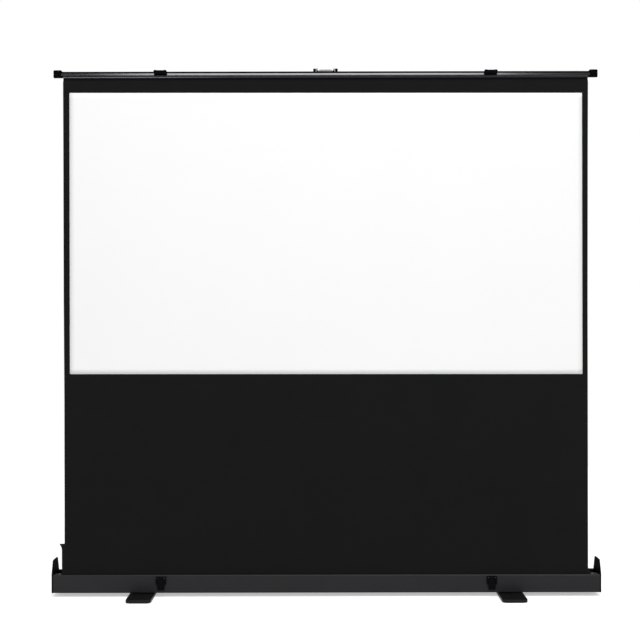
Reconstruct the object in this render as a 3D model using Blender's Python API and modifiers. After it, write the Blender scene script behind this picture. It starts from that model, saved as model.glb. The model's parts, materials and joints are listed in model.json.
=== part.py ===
"""A floor standing pull up projection screen.

A cloth on a spring roller lies in a long housing. A geared pair of folding arms behind the cloth
lifts the top bar, and the housing stands on two feet that swivel under it for storage.
Lengths are in metres. +Z is up, the width runs along X and the viewer stands at -Y.
"""

import math

import bmesh
import bpy
from mathutils import Matrix, Vector

# Picture area and cloth
VIEW_WIDTH = 2.214
VIEW_HEIGHT = 1.215
SIDE_BORDER = 0.023
TOP_BORDER = 0.0621
CLOTH_THICKNESS = 0.0005
COATING_THICKNESS = 0.0003
CLOTH_SETBACK = 0.0095
CLOTH_IN_CLAMP = 0.0065

# Clearances
SEAT_GAP = 0.0003
TURNING_GAP = 0.0003
OVERRUN = 0.005

# Housing, as deep as what it holds and the room behind that
REAR_ROOM = 0.0135
HOUSING_HEIGHT = 0.0785
HOUSING_WALL = 0.0025
HOUSING_CORNER = 0.005
HOUSING_INNER_CORNER = 0.0025
LIP_PROUD = 0.0008
LIP_BEAD = 0.005
LIP_ROUNDING = 0.0022
REAR_EDGE_ROUNDING = 0.001
END_ROOM = 0.0485

# End caps, whose ears stand above the housing
CAP_THICKNESS = 0.006
EAR_HEIGHT = 0.059
EAR_FOOT_HEIGHT = 0.003
EAR_FRONT_LEAN = 0.024
EAR_REAR_LEAN = 0.022
EAR_ROUNDING = 0.006
EAR_FOOT_ROUNDING = 0.012
CAP_CORNER = 0.004
CAP_BEVEL = 0.001
SPIGOT_LENGTH = 0.012
SPIGOT_WALL = 0.002
CAP_SCREW_RADIUS = 0.00175
CAP_SCREW_HEAD_RADIUS = 0.004
CAP_SCREW_HEAD_HEIGHT = 0.0025
CAP_SCREW_TIP = 0.001
CAP_SCREW_INSET = 0.009

# Roller
ROLLER_RADIUS = 0.019
ROLLER_WALL = 0.0012
ROLLER_OVERHANG = 0.008
ROLLER_FLOOR_GAP = 0.0075
ROLLER_REAR_GAP = 0.0065
WOUND_THICKNESS = 0.0008
PLUG_FLANGE = 0.0035
PLUG_DEPTH = 0.020
AXLE_RADIUS = 0.004
AXLE_END_GAP = 0.001
ROLLER_BRACKET_THICKNESS = 0.004
ROLLER_BRACKET_CORNER = 0.003

# Roller spring, wound round a shaft that does not turn
SPRING_SHAFT_RADIUS = 0.003
SPRING_SHAFT_LENGTH = 0.540
SPRING_SHAFT_SHOULDER = 0.016
SPRING_COLLAR_RADIUS = 0.010
SPRING_COLLAR_THICKNESS = 0.004
SPRING_COLLAR_STANDOFF = 0.008
SPRING_COIL_RADIUS = 0.009
SPRING_WIRE_RADIUS = 0.0008
SPRING_TURNS = 12
SPRING_POINTS_PER_TURN = 8

# Cover over the roller, and the slot in front of it
COVER_THICKNESS = 0.0015
COVER_SETBACK = 0.0175
COVER_DROP = 0.0057
COVER_LIP = 0.004
COVER_WEB_RISE = 0.0095

# Feet
FOOT_LENGTH = 0.330
FOOT_WIDTH = 0.108
FOOT_THICKNESS = 0.012
FOOT_CORNER = 0.014
FOOT_BEVEL = 0.0015
FOOT_INSET = 0.3893
FOOT_GROOVE_WIDTH = 0.0025
FOOT_GROOVE_DEPTH = 0.0015
FOOT_GROOVE_INSET = 0.013
PAD_HEIGHT = 0.003
PAD_WIDTH = 0.080
PAD_LENGTH = 0.022
PAD_CORNER = 0.006
PAD_INSET = 0.008
WASHER_HEIGHT = 0.0035
WASHER_RADIUS = 0.020
BOLT_RADIUS = 0.004
BOLT_HEAD_RADIUS = 0.008
BOLT_HEAD_HEIGHT = 0.005
BOLT_FLANGE_HEIGHT = 0.0027
COUNTERBORE_DEPTH = 0.0042

# Folding arms and their gears
ARM_LEAN = math.radians(15.2)
ARM_FOLDED_LEAN = math.radians(89.83)
ARM_WIDTH = 0.025
ARM_THICKNESS = 0.012
ARM_WALL = 0.002
ARM_POCKET_MARGIN = 0.008
GEAR_TEETH = 24
GEAR_MODULE = 0.0025
GEAR_BACKLASH = 0.0002
GEAR_ROOT_FACTOR = 1.25
GEAR_TIP_FACTOR = 0.9
PRESSURE_ANGLE = math.radians(20)
FLANK_STEPS = 4
KNEE_ROOM = 0.018
GEAR_FLOOR_GAP = 0.00395
PIN_RADIUS = 0.004
PIN_HEAD_RADIUS = 0.007
PIN_HEAD_HEIGHT = 0.0015
PIN_STUB = 0.001

# Brackets that carry the arms
BRACKET_WALL = 0.003
BRACKET_END = 0.022
BRACKET_EDGE = 0.014
BRACKET_SETBACK = 0.003
BRACKET_SIDE_GAP = 0.0005
BRACKET_PASSING_GAP = 0.002
CLOSED_GAP = 0.0013

# Knee springs, flat spirals in round cases
KNEE_CASE_RADIUS = 0.019
KNEE_CASE_WALL = 0.0015
KNEE_CASE_RUNNING_GAP = 0.001
KNEE_SPRING_INNER = 0.0062
KNEE_SPRING_STRIP = 0.0008
KNEE_SPRING_TURNS = 3.5
KNEE_SPRING_POINTS_PER_TURN = 16

# Top bar
BAR_SIDE_INSET = 0.001
BAR_HEIGHT = 0.031
BAR_WALL = 0.0022
BAR_CORNER = 0.004
BAR_INNER_CORNER = 0.002
BAR_END_INSET = 0.006
BAR_GROOVE_DEPTH = 0.002
BAR_GROOVE_BOTTOM = 0.0095
BAR_GROOVE_HEIGHT = 0.0025
BAR_BAND_CHAMFER = 0.0005
BAR_BAND_HEIGHT = 0.008
BAR_BAND_LEAN = 0.0029
BAR_CROWN_SETBACK = 0.0135
BAR_CROWN_ROUNDING = 0.006
BAR_FLANGE_LENGTH = 0.0165
BAR_END_CUT = 0.035
BAR_END_REAR_LIP = 0.0045
BAR_CAP_LENGTH = 0.033
BAR_CAP_EAR_GAP = 0.0053
BAR_CAP_RISE = 0.004
BAR_CAP_DROP = 0.0015
BAR_CAP_REAR_BOTTOM = 0.0245
BAR_CAP_BEVEL = 0.004
BAR_CAP_BEVEL_STEPS = 3

# Clamp strip that holds the top edge of the cloth
CLAMP_HEIGHT = 0.0089
CLAMP_OVERHANG = 0.002
CLAMP_REAR = 0.016
CLAMP_FRONT_INSET = 0.0005
CLAMP_ROUNDING = 0.002
CLAMP_SLOT_HEIGHT = 0.007

# Latches on the housing and strikes on the top bar
LATCH_INSET = 0.472
LATCH_WIDTH = 0.043
LATCH_BASE_HEIGHT = 0.0328
LATCH_BASE_DROP = 0.0072
LATCH_PLATE = 0.002
LATCH_CHEEK_DEPTH = 0.012
LATCH_CHEEK_WIDTH = 0.0052
LATCH_CHEEK_ROUNDING = 0.0012
LATCH_PIN_RADIUS = 0.0015
LATCH_PIN_DROP = 0.0122
LATCH_PIN_REACH = 0.008
HASP_WIDTH = 0.030
HASP_THICKNESS = 0.002
HASP_KNUCKLE_RADIUS = 0.0034
HASP_HOOK_GAP = 0.002
HASP_CLAW = 0.0055
STRIKE_WIDTH = 0.057
STRIKE_HEIGHT = 0.0185
STRIKE_END_WIDTH = 0.012
STRIKE_WAIST_HEIGHT = 0.015
STRIKE_DEPTH = 0.0064
STRIKE_OVERLAP = 0.0064
STRIKE_END_ROUNDING = 0.006
STRIKE_WAIST_ROUNDING = 0.0008
STRIKE_TONGUE_LENGTH = 0.027
STRIKE_TONGUE_THICKNESS = 0.002

# Carrying handle on the top bar
HANDLE_WIDTH = 0.106
HANDLE_MOUNT_WIDTH = 0.011
HANDLE_MOUNT_LENGTH = 0.018
HANDLE_MOUNT_ROUNDING = 0.006
HANDLE_SETBACK = 0.0235
HANDLE_AXIS_RISE = 0.0085
HANDLE_MOUNT_CROWN = 0.0045
HANDLE_ROD_RADIUS = 0.003
HANDLE_ROD_END_GAP = 0.002
HANDLE_COLLAR_RADIUS = 0.007
HANDLE_COLLAR_LENGTH = 0.007
HANDLE_LEG_INSET = 0.0055
HANDLE_REACH = 0.028
HANDLE_BEND = 0.009
GRIP_RADIUS = 0.0075
GRIP_END_ROUNDING = 0.0015
GRIP_HALF_LENGTH = 0.026

# Steps of round shapes
ARC_STEPS = 4
ROUND_STEPS = 24
SMALL_ROUND_STEPS = 16
MERGE = 0.00001
SHARP_ANGLE = math.radians(35)

# Sizes worked out from the ones above
CLOTH_WIDTH = VIEW_WIDTH + 2 * SIDE_BORDER
WOUND_RADIUS = ROLLER_RADIUS + SEAT_GAP + WOUND_THICKNESS
PITCH_RADIUS = GEAR_TEETH * GEAR_MODULE / 2
GEAR_TIP_RADIUS = PITCH_RADIUS + GEAR_TIP_FACTOR * GEAR_MODULE
BRACKET_HALF_LENGTH = PITCH_RADIUS + BRACKET_END
BRACKET_DEPTH = ARM_THICKNESS + 2 * BRACKET_SIDE_GAP + 2 * BRACKET_WALL

CLOTH_REAR_DEPTH = CLOTH_SETBACK + CLOTH_THICKNESS
ROLLER_AXIS_DEPTH = CLOTH_REAR_DEPTH + SEAT_GAP + WOUND_RADIUS
COVER_REAR_DEPTH = ROLLER_AXIS_DEPTH + WOUND_RADIUS + ROLLER_REAR_GAP + COVER_THICKNESS
BRACKETS_REAR_DEPTH = COVER_REAR_DEPTH + BRACKET_SETBACK + 2 * BRACKET_DEPTH + BRACKET_PASSING_GAP
HOUSING_DEPTH = BRACKETS_REAR_DEPTH + REAR_ROOM

HOUSING_HALF = CLOTH_WIDTH / 2 + END_ROOM
OUTER_HALF = HOUSING_HALF + CAP_THICKNESS
HOUSING_BOTTOM = PAD_HEIGHT + FOOT_THICKNESS + WASHER_HEIGHT
HOUSING_FLOOR = HOUSING_BOTTOM + HOUSING_WALL
HOUSING_TOP = HOUSING_BOTTOM + HOUSING_HEIGHT
FRONT = -HOUSING_DEPTH / 2
FRONT_FACE = FRONT + LIP_PROUD
FRONT_INSIDE = FRONT_FACE + HOUSING_WALL
REAR = HOUSING_DEPTH / 2

CLOTH_FRONT = FRONT + CLOTH_SETBACK
CLOTH_REAR = FRONT + CLOTH_REAR_DEPTH
ROLLER_Y = FRONT + ROLLER_AXIS_DEPTH
ROLLER_Z = HOUSING_FLOOR + ROLLER_FLOOR_GAP + WOUND_RADIUS
ROLLER_HALF = CLOTH_WIDTH / 2 + ROLLER_OVERHANG
ROLLER_BRACKET_X = HOUSING_HALF - SEAT_GAP - ROLLER_BRACKET_THICKNESS / 2
ROLLER_BRACKET_FACE = ROLLER_BRACKET_X - ROLLER_BRACKET_THICKNESS / 2
COVER_REAR = FRONT + COVER_REAR_DEPTH

BASE_BRACKET_FRONT = COVER_REAR + BRACKET_SETBACK
LOWER_ARM_FRONT = BASE_BRACKET_FRONT + BRACKET_WALL + BRACKET_SIDE_GAP
LOWER_ARM_REAR = LOWER_ARM_FRONT + ARM_THICKNESS
BASE_BRACKET_REAR = BASE_BRACKET_FRONT + BRACKET_DEPTH
TOP_BRACKET_FRONT = BASE_BRACKET_REAR + BRACKET_PASSING_GAP
UPPER_ARM_FRONT = TOP_BRACKET_FRONT + BRACKET_WALL + BRACKET_SIDE_GAP
UPPER_ARM_REAR = UPPER_ARM_FRONT + ARM_THICKNESS
TOP_BRACKET_REAR = TOP_BRACKET_FRONT + BRACKET_DEPTH

ARM_LENGTH = HOUSING_HALF - PITCH_RADIUS - KNEE_CASE_RADIUS - KNEE_ROOM
BASE_BRACKET_FLOOR = HOUSING_FLOOR + SEAT_GAP + BRACKET_WALL
BASE_PIVOT_Z = BASE_BRACKET_FLOOR + GEAR_FLOOR_GAP + GEAR_TIP_RADIUS
TOP_PIVOT_Z = BASE_PIVOT_Z + 2 * ARM_LENGTH * math.cos(ARM_LEAN)
CLOSED_PIVOT_Z = BASE_PIVOT_Z + 2 * ARM_LENGTH * math.cos(ARM_FOLDED_LEAN)
CLOSED_BAR_BOTTOM = HOUSING_TOP + CLOSED_GAP + BAR_CAP_DROP
TOP_PIVOT_DROP = CLOSED_BAR_BOTTOM - CLOSED_PIVOT_Z
BAR_BOTTOM = TOP_PIVOT_Z + TOP_PIVOT_DROP

BAR_FRONT = FRONT + BAR_SIDE_INSET
BAR_DEPTH = HOUSING_DEPTH - 2 * BAR_SIDE_INSET
BAR_CAP_OUTER = HOUSING_HALF - BAR_CAP_EAR_GAP
BAR_CAP_INNER = BAR_CAP_OUTER - BAR_CAP_LENGTH
BAR_HALF = BAR_CAP_OUTER - BAR_END_INSET
BAR_ROOF = BAR_HEIGHT - BAR_WALL

LATCH_X = OUTER_HALF - LATCH_INSET
LATCH_Z = HOUSING_TOP - LATCH_PIN_DROP
LATCH_Y = FRONT_FACE - LATCH_PIN_REACH - SEAT_GAP
STRIKE_Z = BAR_HEIGHT - STRIKE_OVERLAP
CLOSED_WAIST_TOP = CLOSED_BAR_BOTTOM + STRIKE_Z + STRIKE_WAIST_HEIGHT / 2
HASP_LENGTH = CLOSED_WAIST_TOP + HASP_HOOK_GAP + HASP_THICKNESS - LATCH_Z
FOOT_X = OUTER_HALF - FOOT_INSET
HANDLE_Y = BAR_FRONT + HANDLE_SETBACK
HANDLE_AXIS_Z = BAR_HEIGHT + SEAT_GAP + HANDLE_AXIS_RISE

# Outlines are drawn flat and turned so that they run along one of these axes
ALONG = {
    "X": Matrix(((0, 0, 1, 0), (1, 0, 0, 0), (0, 1, 0, 0), (0, 0, 0, 1))),
    "Y": Matrix(((1, 0, 0, 0), (0, 0, -1, 0), (0, 1, 0, 0), (0, 0, 0, 1))),
    "Z": Matrix.Identity(4),
}


def clear_scene():
    for obj in list(bpy.data.objects):
        bpy.data.objects.remove(obj, do_unlink=True)


def new_collection(name):
    collection = bpy.data.collections.new(name)
    bpy.context.scene.collection.children.link(collection)
    return collection


def new_material(name, colour, roughness, metallic=0):
    material = bpy.data.materials.new(name)
    material.use_nodes = True
    shader = material.node_tree.nodes["Principled BSDF"]
    shader.inputs["Base Color"].default_value = (*colour, 1)
    shader.inputs["Roughness"].default_value = roughness
    shader.inputs["Metallic"].default_value = metallic
    material.diffuse_color = (*colour, 1)
    return material


def charcoal_shell(name):
    return new_material(name, (0.028, 0.028, 0.031), 0.42, 0.6)


def black_plastic(name):
    return new_material(name, (0.008, 0.008, 0.009), 0.5)


def black_steel(name):
    return new_material(name, (0.016, 0.016, 0.017), 0.4, 0.7)


def plain_steel(name):
    return new_material(name, (0.52, 0.52, 0.53), 0.35, 1)


def spring_steel(name):
    return new_material(name, (0.24, 0.24, 0.25), 0.3, 1)


def dark_aluminium(name):
    return new_material(name, (0.045, 0.045, 0.05), 0.28, 1)


def black_aluminium(name):
    return new_material(name, (0.016, 0.016, 0.017), 0.45, 0.6)


def plain_aluminium(name):
    return new_material(name, (0.42, 0.42, 0.43), 0.38, 1)


def black_cloth(name):
    return new_material(name, (0.01, 0.01, 0.01), 0.9)


def white_coating(name):
    return new_material(name, (0.9, 0.9, 0.9), 0.95)


def rubber(name):
    return new_material(name, (0.012, 0.012, 0.012), 0.85)


def grey_rubber(name):
    return new_material(name, (0.2, 0.2, 0.21), 0.6)


def slip_plastic(name):
    return new_material(name, (0.7, 0.68, 0.62), 0.5)


def filleted(corners):
    """The points of an outline whose corners are (x, y, rounding)."""
    points = []
    for index, (x, y, rounding) in enumerate(corners):
        corner = Vector((x, y))
        if not rounding:
            points.append(corner)
            continue
        back = (Vector(corners[index - 1][:2]) - corner).normalized()
        ahead = (Vector(corners[(index + 1) % len(corners)][:2]) - corner).normalized()
        half = back.angle(ahead) / 2
        centre = corner + (back + ahead).normalized() * rounding / math.sin(half)
        first = corner + back * rounding / math.tan(half) - centre
        last = corner + ahead * rounding / math.tan(half) - centre
        sweep = first.angle(last)
        for step in range(ARC_STEPS + 1):
            share = step / ARC_STEPS
            ray = first * math.sin((1 - share) * sweep) + last * math.sin(share * sweep)
            points.append(centre + ray / math.sin(sweep))
    return points


def rectangle(low_x, high_x, low_y, high_y, rounding=0):
    corners = [(low_x, low_y), (high_x, low_y), (high_x, high_y), (low_x, high_y)]
    return filleted([(x, y, rounding) for x, y in corners])


def circle(centre_x, centre_y, radius, steps=SMALL_ROUND_STEPS):
    angles = [2 * math.pi * step / steps for step in range(steps)]
    return [(centre_x + radius * math.cos(a), centre_y + radius * math.sin(a)) for a in angles]


def finish_mesh(mesh):
    """Welds the caps of a converted curve and turns every face outwards."""
    shape = bmesh.new()
    shape.from_mesh(mesh)
    bmesh.ops.remove_doubles(shape, verts=shape.verts, dist=MERGE)
    bmesh.ops.recalc_face_normals(shape, faces=shape.faces)
    shape.to_mesh(mesh)
    shape.free()


def mesh_from_curve(curve):
    guide = bpy.data.objects.new(curve.name, curve)
    bpy.context.scene.collection.objects.link(guide)
    graph = bpy.context.evaluated_depsgraph_get()
    mesh = bpy.data.meshes.new_from_object(guide.evaluated_get(graph))
    bpy.data.objects.remove(guide, do_unlink=True)
    finish_mesh(mesh)
    return mesh


def prism_mesh(outlines, length, axis):
    """A flat outline, with any holes after it, given this length along the axis."""
    curve = bpy.data.curves.new("outline", "CURVE")
    curve.dimensions = "2D"
    curve.fill_mode = "BOTH"
    curve.extrude = length / 2
    for outline in outlines:
        spline = curve.splines.new("POLY")
        spline.points.add(len(outline) - 1)
        for point, (x, y) in zip(spline.points, outline):
            point.co = (x, y, 0, 1)
        spline.use_cyclic_u = True
    mesh = mesh_from_curve(curve)
    mesh.transform(ALONG[axis])
    return mesh


def cylinder_mesh(radius, length, axis, steps=SMALL_ROUND_STEPS):
    shape = bmesh.new()
    bmesh.ops.create_cone(
        shape,
        cap_ends=True,
        segments=steps,
        radius1=radius,
        radius2=radius,
        depth=length,
        matrix=ALONG[axis],
    )
    mesh = bpy.data.meshes.new("cylinder")
    shape.to_mesh(mesh)
    shape.free()
    return mesh


def box_mesh(size):
    shape = bmesh.new()
    bmesh.ops.create_cube(shape, size=1, matrix=Matrix.Diagonal((*size, 1)))
    mesh = bpy.data.meshes.new("box")
    shape.to_mesh(mesh)
    shape.free()
    return mesh


def tube_mesh(points, radius):
    """A round wire or rod through these points."""
    curve = bpy.data.curves.new("wire", "CURVE")
    curve.dimensions = "3D"
    curve.bevel_depth = radius
    curve.bevel_resolution = 1
    curve.use_fill_caps = True
    spline = curve.splines.new("POLY")
    spline.points.add(len(points) - 1)
    for point, place in zip(spline.points, points):
        point.co = (*place, 1)
    return mesh_from_curve(curve)


class Builder:
    """Links each piece and each helper shape to its own collection."""

    def __init__(self):
        self.pieces = new_collection("pull_up_projection_screen")
        self.helpers = new_collection("cutters")

    def piece(self, name, mesh, material, location, parent=None):
        obj = bpy.data.objects.new(name, mesh)
        obj.location = location
        obj.parent = parent
        mesh.name = name
        mesh.materials.clear()
        mesh.materials.append(material(name))
        self.pieces.objects.link(obj)
        mesh.shade_smooth()
        mesh.set_sharp_from_angle(angle=SHARP_ANGLE)
        return obj

    def turned(self, name, profile, axis, material, location, parent=None, steps=ROUND_STEPS):
        """A profile of (radius, height), run down its outer side and spun about the axis."""
        mesh = bpy.data.meshes.new(name)
        closed = profile[0][0] > 0
        edges = [(i, i + 1) for i in range(len(profile) - 1)]
        if closed:
            edges.append((len(profile) - 1, 0))
        mesh.from_pydata([(radius, 0, height) for radius, height in profile], edges, [])
        obj = self.piece(name, mesh, material, location, parent)
        obj.rotation_euler = ALONG[axis].to_euler()
        screw = obj.modifiers.new("turned", "SCREW")
        screw.axis = "Z"
        screw.steps = steps
        screw.render_steps = steps
        screw.use_merge_vertices = True
        screw.merge_threshold = MERGE
        screw.use_smooth_shade = True
        return obj

    def pivot(self, name, location, parent=None, lean=0):
        """An empty on a joint's axis, which the pieces that turn there are parented to."""
        empty = bpy.data.objects.new(name, None)
        empty.location = location
        empty.rotation_euler.y = lean
        empty.parent = parent
        self.pieces.objects.link(empty)
        return empty

    def helper(self, name, mesh, location, parent=None):
        obj = bpy.data.objects.new(name, mesh)
        obj.location = location
        obj.parent = parent
        obj.hide_render = True
        obj.display_type = "WIRE"
        self.helpers.objects.link(obj)
        return obj

    def boolean(self, target, mesh, location, operation="DIFFERENCE"):
        """Cuts or joins a shape placed in the same parent's frame as the target."""
        number = len(target.modifiers)
        helper = self.helper(f"{target.name}_shape_{number}", mesh, location, target.parent)
        modifier = target.modifiers.new(f"shape_{number}", "BOOLEAN")
        modifier.operation = operation
        modifier.object = helper
        return helper

    def bevel(self, target, width, steps=1):
        modifier = target.modifiers.new("rounded_edges", "BEVEL")
        modifier.width = width
        modifier.segments = steps
        modifier.limit_method = "ANGLE"
        modifier.angle_limit = SHARP_ANGLE
        modifier.use_clamp_overlap = True


def sides():
    return (("left", -1), ("right", 1))


def housing_outline():
    """A trough, open at the top, with a round bead along its front lip."""
    bead_bottom = HOUSING_TOP - LIP_BEAD
    bead_rear = FRONT + LIP_BEAD
    return filleted(
        [
            (FRONT_FACE, HOUSING_BOTTOM, HOUSING_CORNER),
            (REAR, HOUSING_BOTTOM, HOUSING_CORNER),
            (REAR, HOUSING_TOP, REAR_EDGE_ROUNDING),
            (REAR - HOUSING_WALL, HOUSING_TOP, REAR_EDGE_ROUNDING),
            (REAR - HOUSING_WALL, HOUSING_FLOOR, HOUSING_INNER_CORNER),
            (FRONT_INSIDE, HOUSING_FLOOR, HOUSING_INNER_CORNER),
            (FRONT_INSIDE, bead_bottom - LIP_PROUD, 0),
            (bead_rear, bead_bottom, 0),
            (bead_rear, HOUSING_TOP, LIP_ROUNDING),
            (FRONT, HOUSING_TOP, LIP_ROUNDING),
            (FRONT, bead_bottom, 0),
            (FRONT_FACE, bead_bottom - LIP_PROUD, 0),
        ]
    )


def add_housing(build):
    mesh = prism_mesh([housing_outline()], 2 * HOUSING_HALF, "X")
    housing = build.piece("housing", mesh, charcoal_shell, (0, 0, 0))
    drill = BOLT_RADIUS + TURNING_GAP
    for _, side in sides():
        hole = cylinder_mesh(drill, HOUSING_WALL + 2 * OVERRUN, "Z")
        build.boolean(housing, hole, (side * FOOT_X, 0, HOUSING_FLOOR))


def spigot_outline():
    """A channel that lines the inside of the housing at its end."""
    front = FRONT_INSIDE + SEAT_GAP
    rear = REAR - HOUSING_WALL - SEAT_GAP
    floor = HOUSING_FLOOR + SEAT_GAP
    top = HOUSING_TOP - LIP_BEAD - LIP_PROUD
    return filleted(
        [
            (front, floor, HOUSING_INNER_CORNER),
            (rear, floor, HOUSING_INNER_CORNER),
            (rear, top, 0),
            (rear - SPIGOT_WALL, top, 0),
            (rear - SPIGOT_WALL, floor + SPIGOT_WALL, 0),
            (front + SPIGOT_WALL, floor + SPIGOT_WALL, 0),
            (front + SPIGOT_WALL, top, 0),
            (front, top, 0),
        ]
    )


def roller_bracket_limits():
    """The lowest and highest y and z of the plates that carry the roller."""
    low_y = FRONT_INSIDE + 2 * SEAT_GAP + SPIGOT_WALL
    low_z = HOUSING_FLOOR + 2 * SEAT_GAP + SPIGOT_WALL
    return low_y, COVER_REAR, low_z, HOUSING_TOP - COVER_DROP


def cap_screw_places():
    """Where the two screws of each end cap pass through, as (y, z)."""
    low_y, high_y, low_z, high_z = roller_bracket_limits()
    low = (low_y + CAP_SCREW_INSET, low_z + CAP_SCREW_INSET)
    high = (high_y - CAP_SCREW_INSET, high_z - CAP_SCREW_INSET)
    return {"lower": low, "upper": high}


def add_end_caps(build):
    ear_foot = HOUSING_TOP + EAR_FOOT_HEIGHT
    ear_top = HOUSING_TOP + EAR_HEIGHT
    outline = filleted(
        [
            (FRONT, HOUSING_BOTTOM, CAP_CORNER),
            (REAR, HOUSING_BOTTOM, CAP_CORNER),
            (REAR, ear_foot, EAR_FOOT_ROUNDING),
            (REAR - EAR_REAR_LEAN, ear_top, EAR_ROUNDING),
            (FRONT + EAR_FRONT_LEAN, ear_top, EAR_ROUNDING),
            (FRONT, ear_foot, EAR_FOOT_ROUNDING),
        ]
    )
    plate_thickness = CAP_THICKNESS - SEAT_GAP
    for name, side in sides():
        plate = prism_mesh([outline], plate_thickness, "X")
        centre = side * (OUTER_HALF - plate_thickness / 2)
        cap = build.piece(f"{name}_end_cap", plate, black_plastic, (centre, 0, 0))
        build.bevel(cap, CAP_BEVEL)
        spigot = prism_mesh([spigot_outline()], SPIGOT_LENGTH + CAP_THICKNESS / 2, "X")
        spigot_x = side * (HOUSING_HALF - SPIGOT_LENGTH / 2 + CAP_THICKNESS / 4)
        build.boolean(cap, spigot, (spigot_x, 0, 0), "UNION")
        for place, (y, z) in cap_screw_places().items():
            hole = cylinder_mesh(CAP_SCREW_RADIUS + SEAT_GAP, CAP_THICKNESS + 2 * OVERRUN, "X")
            build.boolean(cap, hole, (centre, y, z))
            recess = CAP_SCREW_HEAD_HEIGHT + SEAT_GAP
            socket = cylinder_mesh(CAP_SCREW_HEAD_RADIUS + SEAT_GAP, recess + OVERRUN, "X")
            socket_x = side * (OUTER_HALF - recess / 2 + OVERRUN / 2)
            build.boolean(cap, socket, (socket_x, y, z))
            add_cap_screw(build, f"{name}_cap_screw_{place}", side, y, z)


def add_cap_screw(build, name, side, y, z):
    """The head lies in the cap's recess and the shank reaches through the roller bracket."""
    tip = OUTER_HALF - ROLLER_BRACKET_FACE + CAP_SCREW_TIP
    profile = [
        (0, 0),
        (CAP_SCREW_HEAD_RADIUS, 0),
        (CAP_SCREW_HEAD_RADIUS, -CAP_SCREW_HEAD_HEIGHT),
        (CAP_SCREW_RADIUS, -CAP_SCREW_HEAD_HEIGHT),
        (CAP_SCREW_RADIUS, -tip),
        (0, -tip),
    ]
    screw = build.turned(
        name, profile, "X", black_steel, (side * OUTER_HALF, y, z), steps=SMALL_ROUND_STEPS
    )
    if side < 0:
        screw.rotation_euler.rotate(Matrix.Rotation(math.pi, 3, "Z"))


def add_roller_brackets(build):
    low_y, high_y, low_z, high_z = roller_bracket_limits()
    plate = rectangle(low_y, high_y, low_z, high_z, ROLLER_BRACKET_CORNER)
    holes = [circle(ROLLER_Y, ROLLER_Z, AXLE_RADIUS + TURNING_GAP)]
    for y, z in cap_screw_places().values():
        holes.append(circle(y, z, CAP_SCREW_RADIUS + SEAT_GAP))
    for name, side in sides():
        mesh = prism_mesh([plate, *holes], ROLLER_BRACKET_THICKNESS, "X")
        place = (side * ROLLER_BRACKET_X, 0, 0)
        build.piece(f"{name}_roller_bracket", mesh, plain_steel, place)


def add_roller_cover(build):
    """An angle that hides the roller. The cloth passes in front of its folded edge."""
    top = HOUSING_TOP - COVER_DROP
    front = FRONT + COVER_SETBACK
    inside = top - COVER_THICKNESS
    web_bottom = HOUSING_FLOOR + COVER_WEB_RISE
    outline = filleted(
        [
            (front, top, COVER_THICKNESS),
            (COVER_REAR, top, 0),
            (COVER_REAR, web_bottom, 0),
            (COVER_REAR - COVER_THICKNESS, web_bottom, 0),
            (COVER_REAR - COVER_THICKNESS, inside, 0),
            (front + COVER_THICKNESS, inside, 0),
            (front + COVER_THICKNESS, top - COVER_LIP, 0),
            (front, top - COVER_LIP, 0),
        ]
    )
    length = 2 * (ROLLER_BRACKET_FACE - SEAT_GAP)
    mesh = prism_mesh([outline], length, "X")
    build.piece("roller_cover", mesh, black_aluminium, (0, 0, 0))


def add_roller(build):
    spin = build.pivot("roller_axis", (0, ROLLER_Y, ROLLER_Z))
    bore = ROLLER_RADIUS - ROLLER_WALL
    build.turned(
        "roller_tube",
        [
            (ROLLER_RADIUS, ROLLER_HALF),
            (ROLLER_RADIUS, -ROLLER_HALF),
            (bore, -ROLLER_HALF),
            (bore, ROLLER_HALF),
        ],
        "X",
        plain_aluminium,
        (0, 0, 0),
        spin,
    )
    sleeve = ROLLER_RADIUS + SEAT_GAP
    build.turned(
        "wound_cloth",
        [
            (WOUND_RADIUS, CLOTH_WIDTH / 2),
            (WOUND_RADIUS, -CLOTH_WIDTH / 2),
            (sleeve, -CLOTH_WIDTH / 2),
            (sleeve, CLOTH_WIDTH / 2),
        ],
        "X",
        black_cloth,
        (0, 0, 0),
        spin,
    )
    add_left_plug(build, spin, bore - SEAT_GAP)
    add_right_plug(build, spin, bore - SEAT_GAP)


def add_left_plug(build, spin, inner_radius):
    """A plug with its own stub axle, which turns in the left bracket."""
    flange = -(ROLLER_HALF + SEAT_GAP)
    axle_end = -(HOUSING_HALF - AXLE_END_GAP)
    profile = [
        (0, flange + PLUG_DEPTH),
        (inner_radius, flange + PLUG_DEPTH),
        (inner_radius, flange),
        (ROLLER_RADIUS, flange),
        (ROLLER_RADIUS, flange - PLUG_FLANGE),
        (AXLE_RADIUS, flange - PLUG_FLANGE),
        (AXLE_RADIUS, axle_end),
        (0, axle_end),
    ]
    build.turned("left_roller_plug", profile, "X", black_plastic, (0, 0, 0), spin)


def add_right_plug(build, spin, inner_radius):
    """A plug with a bore, which turns on the fixed spring shaft."""
    flange = ROLLER_HALF + SEAT_GAP
    bore = SPRING_SHAFT_RADIUS + TURNING_GAP
    profile = [
        (ROLLER_RADIUS, flange + PLUG_FLANGE),
        (ROLLER_RADIUS, flange),
        (inner_radius, flange),
        (inner_radius, flange - PLUG_DEPTH),
        (bore, flange - PLUG_DEPTH),
        (bore, flange + PLUG_FLANGE),
    ]
    build.turned("right_roller_plug", profile, "X", black_plastic, (0, 0, 0), spin)


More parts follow.
